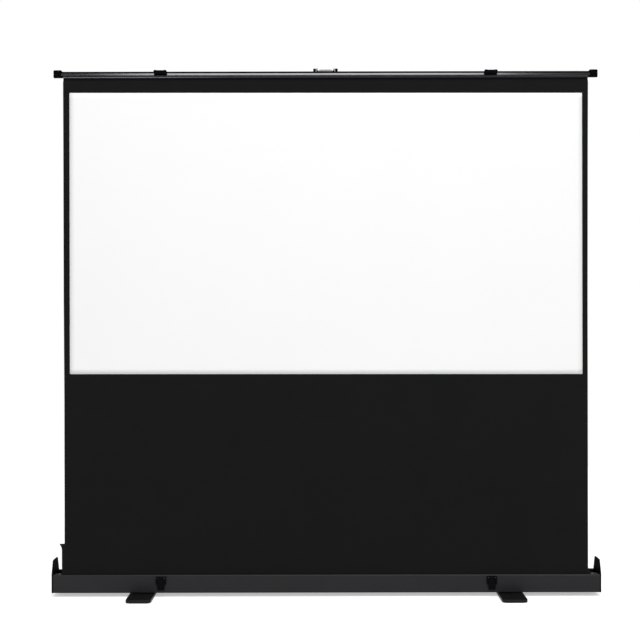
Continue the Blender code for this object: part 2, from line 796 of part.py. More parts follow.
def add_roller_spring(build):
    """The shaft is held by the right bracket, and its collar carries the end of the spring."""
    end = HOUSING_HALF - AXLE_END_GAP
    shoulder = end - SPRING_SHAFT_SHOULDER
    collar = end - SPRING_SHAFT_LENGTH
    tip = collar - SPRING_COLLAR_THICKNESS - SPRING_COLLAR_STANDOFF
    place = (0, ROLLER_Y, ROLLER_Z)
    profile = [
        (0, end),
        (AXLE_RADIUS, end),
        (AXLE_RADIUS, shoulder),
        (SPRING_SHAFT_RADIUS, shoulder),
        (SPRING_SHAFT_RADIUS, collar),
        (SPRING_COLLAR_RADIUS, collar),
        (SPRING_COLLAR_RADIUS, collar - SPRING_COLLAR_THICKNESS),
        (SPRING_SHAFT_RADIUS, collar - SPRING_COLLAR_THICKNESS),
        (SPRING_SHAFT_RADIUS, tip),
        (0, tip),
    ]
    build.turned("spring_shaft", profile, "X", plain_steel, place, steps=SMALL_ROUND_STEPS)
    start = collar + SEAT_GAP + SPRING_WIRE_RADIUS
    plug_face = ROLLER_HALF + SEAT_GAP - PLUG_DEPTH
    finish = plug_face - SEAT_GAP - SPRING_WIRE_RADIUS
    count = SPRING_TURNS * SPRING_POINTS_PER_TURN
    points = []
    for step in range(count + 1):
        angle = 2 * math.pi * step / SPRING_POINTS_PER_TURN
        x = start + (finish - start) * step / count
        y = SPRING_COIL_RADIUS * math.cos(angle)
        z = SPRING_COIL_RADIUS * math.sin(angle)
        points.append((x, y, z))
    print_least_gap("roller_spring", points, SPRING_POINTS_PER_TURN, SPRING_WIRE_RADIUS)
    mesh = tube_mesh(points, SPRING_WIRE_RADIUS)
    build.piece("roller_spring", mesh, spring_steel, place)


def print_least_gap(name, points, points_per_turn, radius):
    """Prints how near the turns of a coil come to each other, surface to surface."""
    places = [Vector(point) for point in points]
    apart = [
        (places[i] - places[j]).length
        for i in range(len(places))
        for j in range(i + points_per_turn // 2, len(places))
    ]
    print(f"{name}: least gap between turns {1000 * (min(apart) - 2 * radius):.2f} mm")


def add_cloth(build):
    """The flat cloth, and the white coating on its front that makes the picture area."""
    bottom = ROLLER_Z
    top = BAR_BOTTOM + CLOTH_IN_CLAMP
    middle = (0, (CLOTH_FRONT + CLOTH_REAR) / 2, (bottom + top) / 2)
    size = (CLOTH_WIDTH, CLOTH_THICKNESS, top - bottom)
    build.piece("screen_cloth", box_mesh(size), black_cloth, middle)
    coating_y = CLOTH_FRONT - SEAT_GAP - COATING_THICKNESS / 2
    coating_z = BAR_BOTTOM - TOP_BORDER - VIEW_HEIGHT / 2
    size = (VIEW_WIDTH, COATING_THICKNESS, VIEW_HEIGHT)
    place = (0, coating_y, coating_z)
    build.piece("viewing_surface", box_mesh(size), white_coating, place)


def add_feet(build):
    for name, side in sides():
        swivel = build.pivot(f"{name}_foot_swivel", (side * FOOT_X, 0, 0))
        add_foot(build, name, swivel)
        add_foot_bolt(build, name, side)


def add_foot(build, name, swivel):
    middle = PAD_HEIGHT + FOOT_THICKNESS / 2
    outline = rectangle(
        -FOOT_WIDTH / 2, FOOT_WIDTH / 2, -FOOT_LENGTH / 2, FOOT_LENGTH / 2, FOOT_CORNER
    )
    mesh = prism_mesh([outline], FOOT_THICKNESS, "Z")
    foot = build.piece(f"{name}_foot", mesh, black_aluminium, (0, 0, middle), swivel)
    build.bevel(foot, FOOT_BEVEL)
    hole = cylinder_mesh(BOLT_RADIUS + TURNING_GAP, FOOT_THICKNESS + 2 * OVERRUN, "Z")
    build.boolean(foot, hole, (0, 0, middle))
    bore = cylinder_mesh(BOLT_HEAD_RADIUS + TURNING_GAP, COUNTERBORE_DEPTH + OVERRUN, "Z")
    bore_z = PAD_HEIGHT + (COUNTERBORE_DEPTH - OVERRUN) / 2
    build.boolean(foot, bore, (0, 0, bore_z))
    for end in (-1, 1):
        groove_y = end * (FOOT_LENGTH / 2 - FOOT_GROOVE_INSET)
        groove_z = PAD_HEIGHT + FOOT_THICKNESS - FOOT_GROOVE_DEPTH / 2 + OVERRUN / 2
        size = (FOOT_WIDTH + 2 * OVERRUN, FOOT_GROOVE_WIDTH, FOOT_GROOVE_DEPTH + OVERRUN)
        build.boolean(foot, box_mesh(size), (0, groove_y, groove_z))
        pad = rectangle(
            -PAD_WIDTH / 2, PAD_WIDTH / 2, -PAD_LENGTH / 2, PAD_LENGTH / 2, PAD_CORNER
        )
        pad_height = PAD_HEIGHT - SEAT_GAP
        pad_y = end * (FOOT_LENGTH / 2 - PAD_INSET - PAD_LENGTH / 2)
        place = "rear" if end > 0 else "front"
        mesh = prism_mesh([pad], pad_height, "Z")
        build.piece(f"{name}_foot_{place}_pad", mesh, rubber, (0, pad_y, pad_height / 2), swivel)
    washer_bottom = PAD_HEIGHT + FOOT_THICKNESS + SEAT_GAP
    washer_top = HOUSING_BOTTOM - SEAT_GAP
    inner = BOLT_RADIUS + TURNING_GAP
    profile = [
        (WASHER_RADIUS, washer_top),
        (WASHER_RADIUS, washer_bottom),
        (inner, washer_bottom),
        (inner, washer_top),
    ]
    build.turned(f"{name}_foot_washer", profile, "Z", slip_plastic, (0, 0, 0), swivel)


def add_foot_bolt(build, name, side):
    """The bolt hangs from the housing's floor, and its lower flange carries the foot."""
    head_bottom = HOUSING_FLOOR + SEAT_GAP
    flange_top = PAD_HEIGHT + COUNTERBORE_DEPTH - SEAT_GAP
    profile = [
        (0, head_bottom + BOLT_HEAD_HEIGHT),
        (BOLT_HEAD_RADIUS, head_bottom + BOLT_HEAD_HEIGHT),
        (BOLT_HEAD_RADIUS, head_bottom),
        (BOLT_RADIUS, head_bottom),
        (BOLT_RADIUS, flange_top),
        (BOLT_HEAD_RADIUS - SEAT_GAP, flange_top),
        (BOLT_HEAD_RADIUS - SEAT_GAP, flange_top - BOLT_FLANGE_HEIGHT),
        (0, flange_top - BOLT_FLANGE_HEIGHT),
    ]
    place = (side * FOOT_X, 0, 0)
    build.turned(f"{name}_foot_bolt", profile, "Z", plain_steel, place, steps=SMALL_ROUND_STEPS)


def involute_reach(radius):
    """How far round the pitch point a tooth's flank has turned at this radius."""
    base = PITCH_RADIUS * math.cos(PRESSURE_ANGLE)
    angle = math.acos(min(base / radius, 1))
    return math.tan(angle) - angle


def tooth_points(centre_angle):
    """One tooth as (radius, angle) from its left root, over its tip, to its right root."""
    root = PITCH_RADIUS - GEAR_ROOT_FACTOR * GEAR_MODULE
    tip = PITCH_RADIUS + GEAR_TIP_FACTOR * GEAR_MODULE
    base = PITCH_RADIUS * math.cos(PRESSURE_ANGLE)
    half_at_pitch = math.pi / (2 * GEAR_TEETH) - GEAR_BACKLASH / (2 * PITCH_RADIUS)
    flank = []
    for step in range(FLANK_STEPS + 1):
        radius = base + (tip - base) * step / FLANK_STEPS
        turned_back = involute_reach(PITCH_RADIUS) - involute_reach(radius)
        flank.append((radius, half_at_pitch + turned_back))
    left = [(root, flank[0][1])] + flank
    rising = [(radius, centre_angle - half) for radius, half in left]
    falling = [(radius, centre_angle + half) for radius, half in reversed(left)]
    return rising + falling


def gear_teeth(side):
    """The teeth round an arm's pivot as (radius, angle from the arm towards its mate).

    The left gear has a tooth on the line between the pivots and the right one has a gap there.
    """
    pitch = 2 * math.pi / GEAR_TEETH
    first_contact = math.pi / 2 + ARM_LEAN
    last_contact = math.pi / 2 + ARM_FOLDED_LEAN
    centre = first_contact - pitch
    if side > 0:
        centre -= pitch / 2
    teeth = []
    while centre <= last_contact + 1.5 * pitch:
        teeth += tooth_points(centre)
        centre += pitch
    return teeth


def arm_outline(side):
    """An arm along +Y with its mate towards +X, its pivot at the origin and its knee above."""
    half = ARM_WIDTH / 2
    teeth = gear_teeth(side)
    first, last = teeth[0][1], teeth[-1][1]
    points = [(radius * math.sin(angle), radius * math.cos(angle)) for radius, angle in teeth]
    for step in range(SMALL_ROUND_STEPS + 1):
        angle = last + (3 * math.pi / 2 - last) * step / SMALL_ROUND_STEPS
        points.append((half * math.sin(angle), half * math.cos(angle)))
    for step in range(SMALL_ROUND_STEPS + 1):
        angle = math.pi * step / SMALL_ROUND_STEPS
        points.append((-half * math.cos(angle), ARM_LENGTH + half * math.sin(angle)))
    points.append((half, half / math.tan(first)))
    return points


def add_arm(build, name, side, parent, front, geared_end_up):
    """An arm standing along +Z from its parent's pivot, in its own layer behind the cloth."""
    middle = front + ARM_THICKNESS / 2

    def stood(points):
        return [(-side * x, ARM_LENGTH - z if geared_end_up else z) for x, z in points]

    outlines = [arm_outline(side)]
    for z in (0, ARM_LENGTH):
        outlines.append(circle(0, z, PIN_RADIUS + TURNING_GAP))
    mesh = prism_mesh([stood(outline) for outline in outlines], ARM_THICKNESS, "Y")
    arm = build.piece(name, mesh, black_steel, (0, middle, 0), parent)
    low = PITCH_RADIUS + GEAR_MODULE + ARM_POCKET_MARGIN
    high = ARM_LENGTH - KNEE_CASE_RADIUS - ARM_POCKET_MARGIN
    if geared_end_up:
        low, high = ARM_LENGTH - high, ARM_LENGTH - low
    depth = ARM_THICKNESS - ARM_WALL
    size = (ARM_WIDTH - 2 * ARM_WALL, depth + OVERRUN, high - low)
    pocket_y = front + (depth - OVERRUN) / 2
    build.boolean(arm, box_mesh(size), (0, pocket_y, (low + high) / 2))


def add_pin(build, name, parent, location, length, far_head=0):
    """A pin along +Y behind its head. With a far head it is held at both ends."""
    profile = [
        (0, length + far_head),
        (PIN_HEAD_RADIUS, length + far_head),
        (PIN_HEAD_RADIUS, length),
        (PIN_RADIUS, length),
        (PIN_RADIUS, 0),
        (PIN_HEAD_RADIUS, 0),
        (PIN_HEAD_RADIUS, -PIN_HEAD_HEIGHT),
        (0, -PIN_HEAD_HEIGHT),
    ]
    if not far_head:
        profile[:3] = [(0, length)]
    pin = build.turned(
        name, profile, "Y", plain_steel, location, parent, steps=SMALL_ROUND_STEPS
    )
    pin.rotation_euler.rotate(Matrix.Rotation(math.pi, 3, "Z"))
    return pin


def add_knee(build, name, knee):
    """The pin through both arms, and the spring case between them."""
    length = UPPER_ARM_REAR + SEAT_GAP - LOWER_ARM_FRONT + SEAT_GAP
    start = LOWER_ARM_FRONT - SEAT_GAP
    add_pin(build, f"{name}_knee_pin", knee, (0, start, ARM_LENGTH), length, PIN_HEAD_HEIGHT)
    case_front = LOWER_ARM_REAR + SEAT_GAP
    case_depth = UPPER_ARM_FRONT - KNEE_CASE_RUNNING_GAP - case_front
    bore = PIN_RADIUS + TURNING_GAP
    inside = KNEE_CASE_RADIUS - KNEE_CASE_WALL
    profile = [
        (KNEE_CASE_RADIUS, 0),
        (KNEE_CASE_RADIUS, -case_depth),
        (inside, -case_depth),
        (inside, -KNEE_CASE_WALL),
        (bore, -KNEE_CASE_WALL),
        (bore, 0),
    ]
    place = (0, case_front, ARM_LENGTH)
    build.turned(f"{name}_knee_spring_case", profile, "Y", black_steel, place, knee)
    strip_width = case_depth - KNEE_CASE_WALL - 2 * SEAT_GAP
    strip_y = case_front + KNEE_CASE_WALL + SEAT_GAP + strip_width / 2
    outline = knee_spring_outline(inside - SEAT_GAP - KNEE_SPRING_STRIP / 2)
    mesh = prism_mesh([outline], strip_width, "Y")
    place = (0, strip_y, ARM_LENGTH)
    build.piece(f"{name}_knee_spring", mesh, spring_steel, place, knee)


def knee_spring_outline(outer):
    """A flat spiral strip, out along one side and back along the other."""
    count = round(KNEE_SPRING_TURNS * KNEE_SPRING_POINTS_PER_TURN)
    sides_of_strip = []
    for offset in (KNEE_SPRING_STRIP / 2, -KNEE_SPRING_STRIP / 2):
        edge = []
        for step in range(count + 1):
            angle = 2 * math.pi * step / KNEE_SPRING_POINTS_PER_TURN
            radius = KNEE_SPRING_INNER + (outer - KNEE_SPRING_INNER) * step / count + offset
            edge.append((radius * math.cos(angle), radius * math.sin(angle)))
        sides_of_strip.append(edge)
    return sides_of_strip[0] + sides_of_strip[1][::-1]


def add_folding_arms(build):
    """Both pairs of arms. Returns the empty at the left pair's top pivot."""
    tops = {}
    for name, side in sides():
        lean = side * ARM_LEAN
        base = build.pivot(f"{name}_base_pivot", (side * PITCH_RADIUS, 0, BASE_PIVOT_Z), None, lean)
        knee = build.pivot(f"{name}_knee_pivot", (0, 0, ARM_LENGTH), base, -2 * lean)
        tops[name] = build.pivot(f"{name}_top_pivot", (0, 0, ARM_LENGTH), knee, lean)
        add_arm(build, f"{name}_lower_arm", side, base, LOWER_ARM_FRONT, False)
        add_arm(build, f"{name}_upper_arm", side, knee, UPPER_ARM_FRONT, True)
        add_knee(build, name, base)
    return tops["left"]


def add_base_bracket(build):
    """A channel on the housing's floor that carries the lower arms."""
    low = HOUSING_FLOOR + SEAT_GAP
    high = BASE_PIVOT_Z + BRACKET_EDGE
    front = BASE_BRACKET_FRONT
    rear = BASE_BRACKET_REAR
    outline = [
        (front, low),
        (rear, low),
        (rear, high),
        (rear - BRACKET_WALL, high),
        (rear - BRACKET_WALL, low + BRACKET_WALL),
        (front + BRACKET_WALL, low + BRACKET_WALL),
        (front + BRACKET_WALL, high),
        (front, high),
    ]
    mesh = prism_mesh([outline], 2 * BRACKET_HALF_LENGTH, "X")
    bracket = build.piece("base_bracket", mesh, plain_steel, (0, 0, 0))
    for name, side in sides():
        depth = rear - front
        drill = cylinder_mesh(PIN_RADIUS + SEAT_GAP, depth + 2 * OVERRUN, "Y")
        build.boolean(bracket, drill, (side * PITCH_RADIUS, (front + rear) / 2, BASE_PIVOT_Z))
        place = (side * PITCH_RADIUS, front - SEAT_GAP, BASE_PIVOT_Z)
        add_pin(build, f"{name}_base_pin", None, place, depth + SEAT_GAP + PIN_STUB)


def add_top_bracket(build, bar):
    """A channel under the top bar's roof that carries the upper arms."""
    low = -TOP_PIVOT_DROP - BRACKET_EDGE
    high = BAR_ROOF - SEAT_GAP
    front = TOP_BRACKET_FRONT
    rear = TOP_BRACKET_REAR
    outline = [
        (front, high),
        (front, low),
        (front + BRACKET_WALL, low),
        (front + BRACKET_WALL, high - BRACKET_WALL),
        (rear - BRACKET_WALL, high - BRACKET_WALL),
        (rear - BRACKET_WALL, low),
        (rear, low),
        (rear, high),
    ]
    mesh = prism_mesh([outline], 2 * BRACKET_HALF_LENGTH, "X")
    bracket = build.piece("top_bracket", mesh, plain_steel, (0, 0, 0), bar)
    for name, side in sides():
        depth = rear - front
        drill = cylinder_mesh(PIN_RADIUS + SEAT_GAP, depth + 2 * OVERRUN, "Y")
        build.boolean(bracket, drill, (side * PITCH_RADIUS, (front + rear) / 2, -TOP_PIVOT_DROP))
        place = (side * PITCH_RADIUS, rear + SEAT_GAP, -TOP_PIVOT_DROP)
        pin = add_pin(build, f"{name}_top_pin", bar, place, depth + SEAT_GAP + PIN_STUB / 2)
        pin.rotation_euler.rotate(Matrix.Rotation(math.pi, 3, "Z"))


def bar_outline():
    """A cover, open below, whose front has a groove, a band that leans back and a crown."""
    face = BAR_FRONT + BAR_GROOVE_DEPTH
    groove_top = BAR_GROOVE_BOTTOM + BAR_GROOVE_HEIGHT
    band = groove_top + BAR_BAND_CHAMFER
    band_top = band + BAR_BAND_HEIGHT
    crown_front = BAR_FRONT + BAR_BAND_LEAN
    inside = crown_front + BAR_WALL
    inner_shoulder = BAR_FRONT + BAR_CROWN_SETBACK
    flange = BAR_GROOVE_BOTTOM + BAR_WALL
    rear = -BAR_FRONT
    corners = [
        (face, BAR_GROOVE_BOTTOM, 0),
        (face, groove_top, 0),
        (BAR_FRONT, band, 0),
        (crown_front, band_top, 0),
        (inner_shoulder, BAR_HEIGHT, BAR_CROWN_ROUNDING),
        (rear, BAR_HEIGHT, BAR_CORNER),
        (rear, 0, 0),
        (rear - BAR_WALL, 0, 0),
        (rear - BAR_WALL, BAR_ROOF, BAR_INNER_CORNER),
        (inner_shoulder, BAR_ROOF, 0),
        (inside, band_top, 0),
        (inside, flange, 0),
        (face + BAR_FLANGE_LENGTH, flange, 0),
        (face + BAR_FLANGE_LENGTH, BAR_GROOVE_BOTTOM, 0),
    ]
    return filleted(corners)


def bar_cap_outline():
    """A block whose underside rises towards the rear."""
    return [
        Vector((FRONT, -BAR_CAP_DROP)),
        Vector((REAR, BAR_CAP_REAR_BOTTOM)),
        Vector((REAR, BAR_HEIGHT + BAR_CAP_RISE)),
        Vector((FRONT, BAR_HEIGHT + BAR_CAP_RISE)),
    ]


def bar_cap_socket():
    """The room in a cap for the end of the bar."""
    rear = -BAR_FRONT + SEAT_GAP
    front = BAR_FRONT - SEAT_GAP
    floor = BAR_GROOVE_BOTTOM - SEAT_GAP
    behind_flange = BAR_FRONT + BAR_GROOVE_DEPTH + BAR_FLANGE_LENGTH + SEAT_GAP
    return [
        Vector((front, floor)),
        Vector((behind_flange, floor)),
        Vector((rear, BAR_HEIGHT - BAR_END_REAR_LIP - SEAT_GAP)),
        Vector((rear, BAR_HEIGHT + SEAT_GAP)),
        Vector((front, BAR_HEIGHT + SEAT_GAP)),
    ]


def add_top_bar(build, bar):
    """Towards its ends the bar has only a lip for a rear wall, to fit the caps."""
    mesh = prism_mesh([bar_outline()], 2 * BAR_HALF, "X")
    cover = build.piece("top_bar", mesh, dark_aluminium, (0, 0, 0), bar)
    wall_bottom = BAR_HEIGHT - BAR_END_REAR_LIP
    cut = (BAR_END_CUT + OVERRUN, 2 * OVERRUN, wall_bottom + OVERRUN)
    for name, side in sides():
        cut_x = side * (BAR_HALF - (BAR_END_CUT - OVERRUN) / 2)
        build.boolean(cover, box_mesh(cut), (cut_x, -BAR_FRONT, (wall_bottom - OVERRUN) / 2))
        cap_x = side * (BAR_CAP_OUTER - BAR_CAP_LENGTH / 2)
        mesh = prism_mesh([bar_cap_outline()], BAR_CAP_LENGTH, "X")
        cap = build.piece(f"{name}_bar_cap", mesh, black_plastic, (cap_x, 0, 0), bar)
        build.bevel(cap, BAR_CAP_BEVEL, BAR_CAP_BEVEL_STEPS)
        depth = BAR_HALF + SEAT_GAP - BAR_CAP_INNER
        socket = prism_mesh([bar_cap_socket()], depth + OVERRUN, "X")
        build.boolean(cap, socket, (side * (BAR_CAP_INNER + (depth - OVERRUN) / 2), 0, 0))


def add_clamp_strip(build, bar):
    """A strip under the bar's front flange, with a slot that grips the cloth."""
    front = BAR_FRONT + CLAMP_FRONT_INSET
    rear = front + CLAMP_REAR
    slot_front = CLOTH_FRONT - 2 * SEAT_GAP - COATING_THICKNESS
    slot_rear = CLOTH_REAR + SEAT_GAP
    outline = filleted(
        [
            (front, 0, CLAMP_ROUNDING),
            (slot_front, 0, 0),
            (slot_front, CLAMP_SLOT_HEIGHT, 0),
            (slot_rear, CLAMP_SLOT_HEIGHT, 0),
            (slot_rear, 0, 0),
            (rear, 0, 0),
            (rear, CLAMP_HEIGHT, 0),
            (front, CLAMP_HEIGHT, CLAMP_ROUNDING),
        ]
    )
    mesh = prism_mesh([outline], CLOTH_WIDTH + 2 * CLAMP_OVERHANG, "X")
    build.piece("cloth_clamp", mesh, dark_aluminium, (0, 0, 0), bar)


def add_latches(build):
    for name, side in sides():
        x = side * LATCH_X
        add_latch_base(build, name, x)
        add_hasp(build, name, x)
        build.piece(
            f"{name}_latch_pin",
            cylinder_mesh(LATCH_PIN_RADIUS, LATCH_WIDTH, "X"),
            plain_steel,
            (x, LATCH_Y, LATCH_Z),
        )


def add_latch_base(build, name, x):
    """A plate on the housing's front with a cheek on each side of the hasp."""
    half = LATCH_WIDTH / 2
    inner = half - LATCH_CHEEK_WIDTH
    back = FRONT_FACE - SEAT_GAP
    plate = back - LATCH_PLATE
    front = back - LATCH_CHEEK_DEPTH
    outline = filleted(
        [
            (-half, back, 0),
            (half, back, 0),
            (half, front, LATCH_CHEEK_ROUNDING),
            (inner, front, LATCH_CHEEK_ROUNDING),
            (inner, plate, 0),
            (-inner, plate, 0),
            (-inner, front, LATCH_CHEEK_ROUNDING),
            (-half, front, LATCH_CHEEK_ROUNDING),
        ]
    )
    top = HOUSING_TOP - LATCH_BASE_DROP
    mesh = prism_mesh([outline], LATCH_BASE_HEIGHT, "Z")
    place = (x, 0, top - LATCH_BASE_HEIGHT / 2)
    base = build.piece(f"{name}_latch_base", mesh, black_steel, place)
    drill = cylinder_mesh(LATCH_PIN_RADIUS + SEAT_GAP, LATCH_WIDTH + 2 * OVERRUN, "X")
    build.boolean(base, drill, (x, LATCH_Y, LATCH_Z))


def add_hasp(build, name, x):
    """A plate that hangs from the latch pin and ends in a claw. It swings up over the strike."""
    hinge = build.pivot(f"{name}_hasp_hinge", (x, LATCH_Y, LATCH_Z))
    half = HASP_THICKNESS / 2
    tip = -HASP_LENGTH
    plate = filleted(
        [
            (-half, 0, 0),
            (half, 0, 0),
            (half, tip, HASP_THICKNESS),
            (-HASP_CLAW, tip, half),
            (-HASP_CLAW, tip + HASP_THICKNESS, half / 2),
            (-half, tip + HASP_THICKNESS, 0),
        ]
    )
    mesh = prism_mesh([plate], HASP_WIDTH, "X")
    hasp = build.piece(f"{name}_latch_hasp", mesh, black_steel, (0, 0, 0), hinge)
    knuckle = cylinder_mesh(HASP_KNUCKLE_RADIUS, HASP_WIDTH, "X")
    build.boolean(hasp, knuckle, (0, 0, 0), "UNION")
    drill = cylinder_mesh(LATCH_PIN_RADIUS + TURNING_GAP, HASP_WIDTH + 2 * OVERRUN, "X")
    build.boolean(hasp, drill, (0, 0, 0))


def add_strikes(build, bar):
    """A waisted bar for each hasp, held by a tongue on top of the bar."""
    half = STRIKE_WIDTH / 2
    waist = half - STRIKE_END_WIDTH
    tall = STRIKE_HEIGHT / 2
    slim = STRIKE_WAIST_HEIGHT / 2
    outline = filleted(
        [
            (-half, -tall, STRIKE_END_ROUNDING),
            (-waist, -tall, STRIKE_WAIST_ROUNDING),
            (-waist, -slim, STRIKE_WAIST_ROUNDING),
            (waist, -slim, STRIKE_WAIST_ROUNDING),
            (waist, -tall, STRIKE_WAIST_ROUNDING),
            (half, -tall, STRIKE_END_ROUNDING),
            (half, tall, STRIKE_END_ROUNDING),
            (waist, tall, STRIKE_WAIST_ROUNDING),
            (waist, slim, STRIKE_WAIST_ROUNDING),
            (-waist, slim, STRIKE_WAIST_ROUNDING),
            (-waist, tall, STRIKE_WAIST_ROUNDING),
            (-half, tall, STRIKE_END_ROUNDING),
        ]
    )
    back = BAR_FRONT - SEAT_GAP
    for name, side in sides():
        x = side * LATCH_X
        mesh = prism_mesh([outline], STRIKE_DEPTH, "Y")
        place = (x, back - STRIKE_DEPTH / 2, STRIKE_Z)
        strike = build.piece(f"{name}_strike", mesh, black_plastic, place, bar)
        length = STRIKE_TONGUE_LENGTH + STRIKE_DEPTH / 2
        tongue_z = BAR_HEIGHT + SEAT_GAP + STRIKE_TONGUE_THICKNESS / 2
        tongue_y = back - STRIKE_DEPTH / 2 + length / 2
        size = (2 * waist, length, STRIKE_TONGUE_THICKNESS)
        build.boolean(strike, box_mesh(size), (x, tongue_y, tongue_z), "UNION")


def add_handle(build, bar):
    """A rod with a grip and two collars that folds down between mounts on top of the bar."""
    hinge = build.pivot("handle_hinge", (0, HANDLE_Y, HANDLE_AXIS_Z), bar)
    mount_bottom = BAR_HEIGHT + SEAT_GAP
    mount_top = HANDLE_AXIS_Z + HANDLE_MOUNT_CROWN
    half = HANDLE_MOUNT_LENGTH / 2
    mount = filleted(
        [
            (-half, mount_bottom, 0),
            (half, mount_bottom, 0),
            (half, mount_top, HANDLE_MOUNT_ROUNDING),
            (-half, mount_top, HANDLE_MOUNT_ROUNDING),
        ]
    )
    hole = circle(0, HANDLE_AXIS_Z, HANDLE_ROD_RADIUS + TURNING_GAP)
    for name, side in sides():
        mesh = prism_mesh([mount, hole], HANDLE_MOUNT_WIDTH, "X")
        x = side * (HANDLE_WIDTH - HANDLE_MOUNT_WIDTH) / 2
        build.piece(f"{name}_handle_mount", mesh, black_plastic, (x, HANDLE_Y, 0), bar)
    end = HANDLE_WIDTH / 2 - HANDLE_ROD_END_GAP
    leg = HANDLE_WIDTH / 2 - HANDLE_MOUNT_WIDTH - HANDLE_LEG_INSET
    bends = filleted(
        [
            (-end, 0, 0),
            (-leg, 0, HANDLE_ROD_RADIUS),
            (-leg, HANDLE_REACH, HANDLE_BEND),
            (leg, HANDLE_REACH, HANDLE_BEND),
            (leg, 0, HANDLE_ROD_RADIUS),
            (end, 0, 0),
        ]
    )
    mesh = tube_mesh([(x, y, 0) for x, y in bends], HANDLE_ROD_RADIUS)
    rod = build.piece("handle_rod", mesh, plain_steel, (0, 0, 0), hinge)
    for _, side in sides():
        collar = cylinder_mesh(HANDLE_COLLAR_RADIUS, HANDLE_COLLAR_LENGTH, "X")
        build.boolean(rod, collar, (side * leg, 0, 0), "UNION")
    bore = HANDLE_ROD_RADIUS + SEAT_GAP
    slope = GRIP_HALF_LENGTH - GRIP_END_ROUNDING
    profile = [
        (GRIP_RADIUS - GRIP_END_ROUNDING, GRIP_HALF_LENGTH),
        (GRIP_RADIUS, slope),
        (GRIP_RADIUS, -slope),
        (GRIP_RADIUS - GRIP_END_ROUNDING, -GRIP_HALF_LENGTH),
        (bore, -GRIP_HALF_LENGTH),
        (bore, GRIP_HALF_LENGTH),
    ]
    place = (0, HANDLE_REACH, 0)
    build.turned("handle_grip", profile, "X", grey_rubber, place, hinge)


def main():
    clear_scene()
    build = Builder()
    add_housing(build)
    add_end_caps(build)
    add_roller_brackets(build)
    add_roller_cover(build)
    add_roller(build)
    add_roller_spring(build)
    add_cloth(build)
    add_feet(build)
    add_latches(build)
    add_base_bracket(build)
    top_pivot = add_folding_arms(build)
    bar_place = (PITCH_RADIUS, 0, TOP_PIVOT_DROP)
    bar = build.pivot("top_bar_frame", bar_place, top_pivot)
    add_top_bracket(build, bar)
    add_top_bar(build, bar)
    add_clamp_strip(build, bar)
    add_strikes(build, bar)
    add_handle(build, bar)


main()
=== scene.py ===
"""The looks of a pull up projection screen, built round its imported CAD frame.

Every piece is made where the CAD nodes say, in metres, with +Z up and the viewer at -Y.
"""

import json
import math
import random

import bmesh
import bpy
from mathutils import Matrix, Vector


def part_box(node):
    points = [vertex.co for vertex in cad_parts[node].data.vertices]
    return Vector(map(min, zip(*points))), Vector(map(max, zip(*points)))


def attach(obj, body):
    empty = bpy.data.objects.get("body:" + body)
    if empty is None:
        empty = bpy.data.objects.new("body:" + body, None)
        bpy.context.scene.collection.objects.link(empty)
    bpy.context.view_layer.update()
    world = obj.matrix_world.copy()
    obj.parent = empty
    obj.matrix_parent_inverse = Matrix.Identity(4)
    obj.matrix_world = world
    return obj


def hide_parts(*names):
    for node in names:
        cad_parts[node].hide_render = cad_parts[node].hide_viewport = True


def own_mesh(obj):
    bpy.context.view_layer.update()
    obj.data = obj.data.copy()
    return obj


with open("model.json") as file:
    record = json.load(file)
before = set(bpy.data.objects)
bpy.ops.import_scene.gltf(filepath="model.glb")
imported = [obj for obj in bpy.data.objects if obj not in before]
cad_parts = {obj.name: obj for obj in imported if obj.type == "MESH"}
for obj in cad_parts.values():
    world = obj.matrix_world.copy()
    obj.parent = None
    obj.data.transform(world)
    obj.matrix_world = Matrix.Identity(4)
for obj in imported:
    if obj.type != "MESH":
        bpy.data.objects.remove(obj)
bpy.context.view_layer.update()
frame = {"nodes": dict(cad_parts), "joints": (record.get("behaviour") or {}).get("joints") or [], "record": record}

MM = 0.001
SHARP_ANGLE = math.radians(32)
FLAT_ANGLE = math.radians(0.5)
WELD = 0.00001
SIDES = (("left", -1), ("right", 1))
IMAGE_PIXELS = 640
SENSOR_MM = 36

# The part of a noise texture's range that most of its values lie in
NOISE_LOW, NOISE_HIGH = 0.3, 0.7
# The wave texture's phase is this many times the place on the surface
WAVE_PHASE = 20
# Where a mix node keeps its two colours and two values, and what it makes of them
COLOUR_A, COLOUR_B, MIXED_COLOUR = 6, 7, 2
VALUE_A, VALUE_B, MIXED_VALUE = 2, 3, 0


# Materials


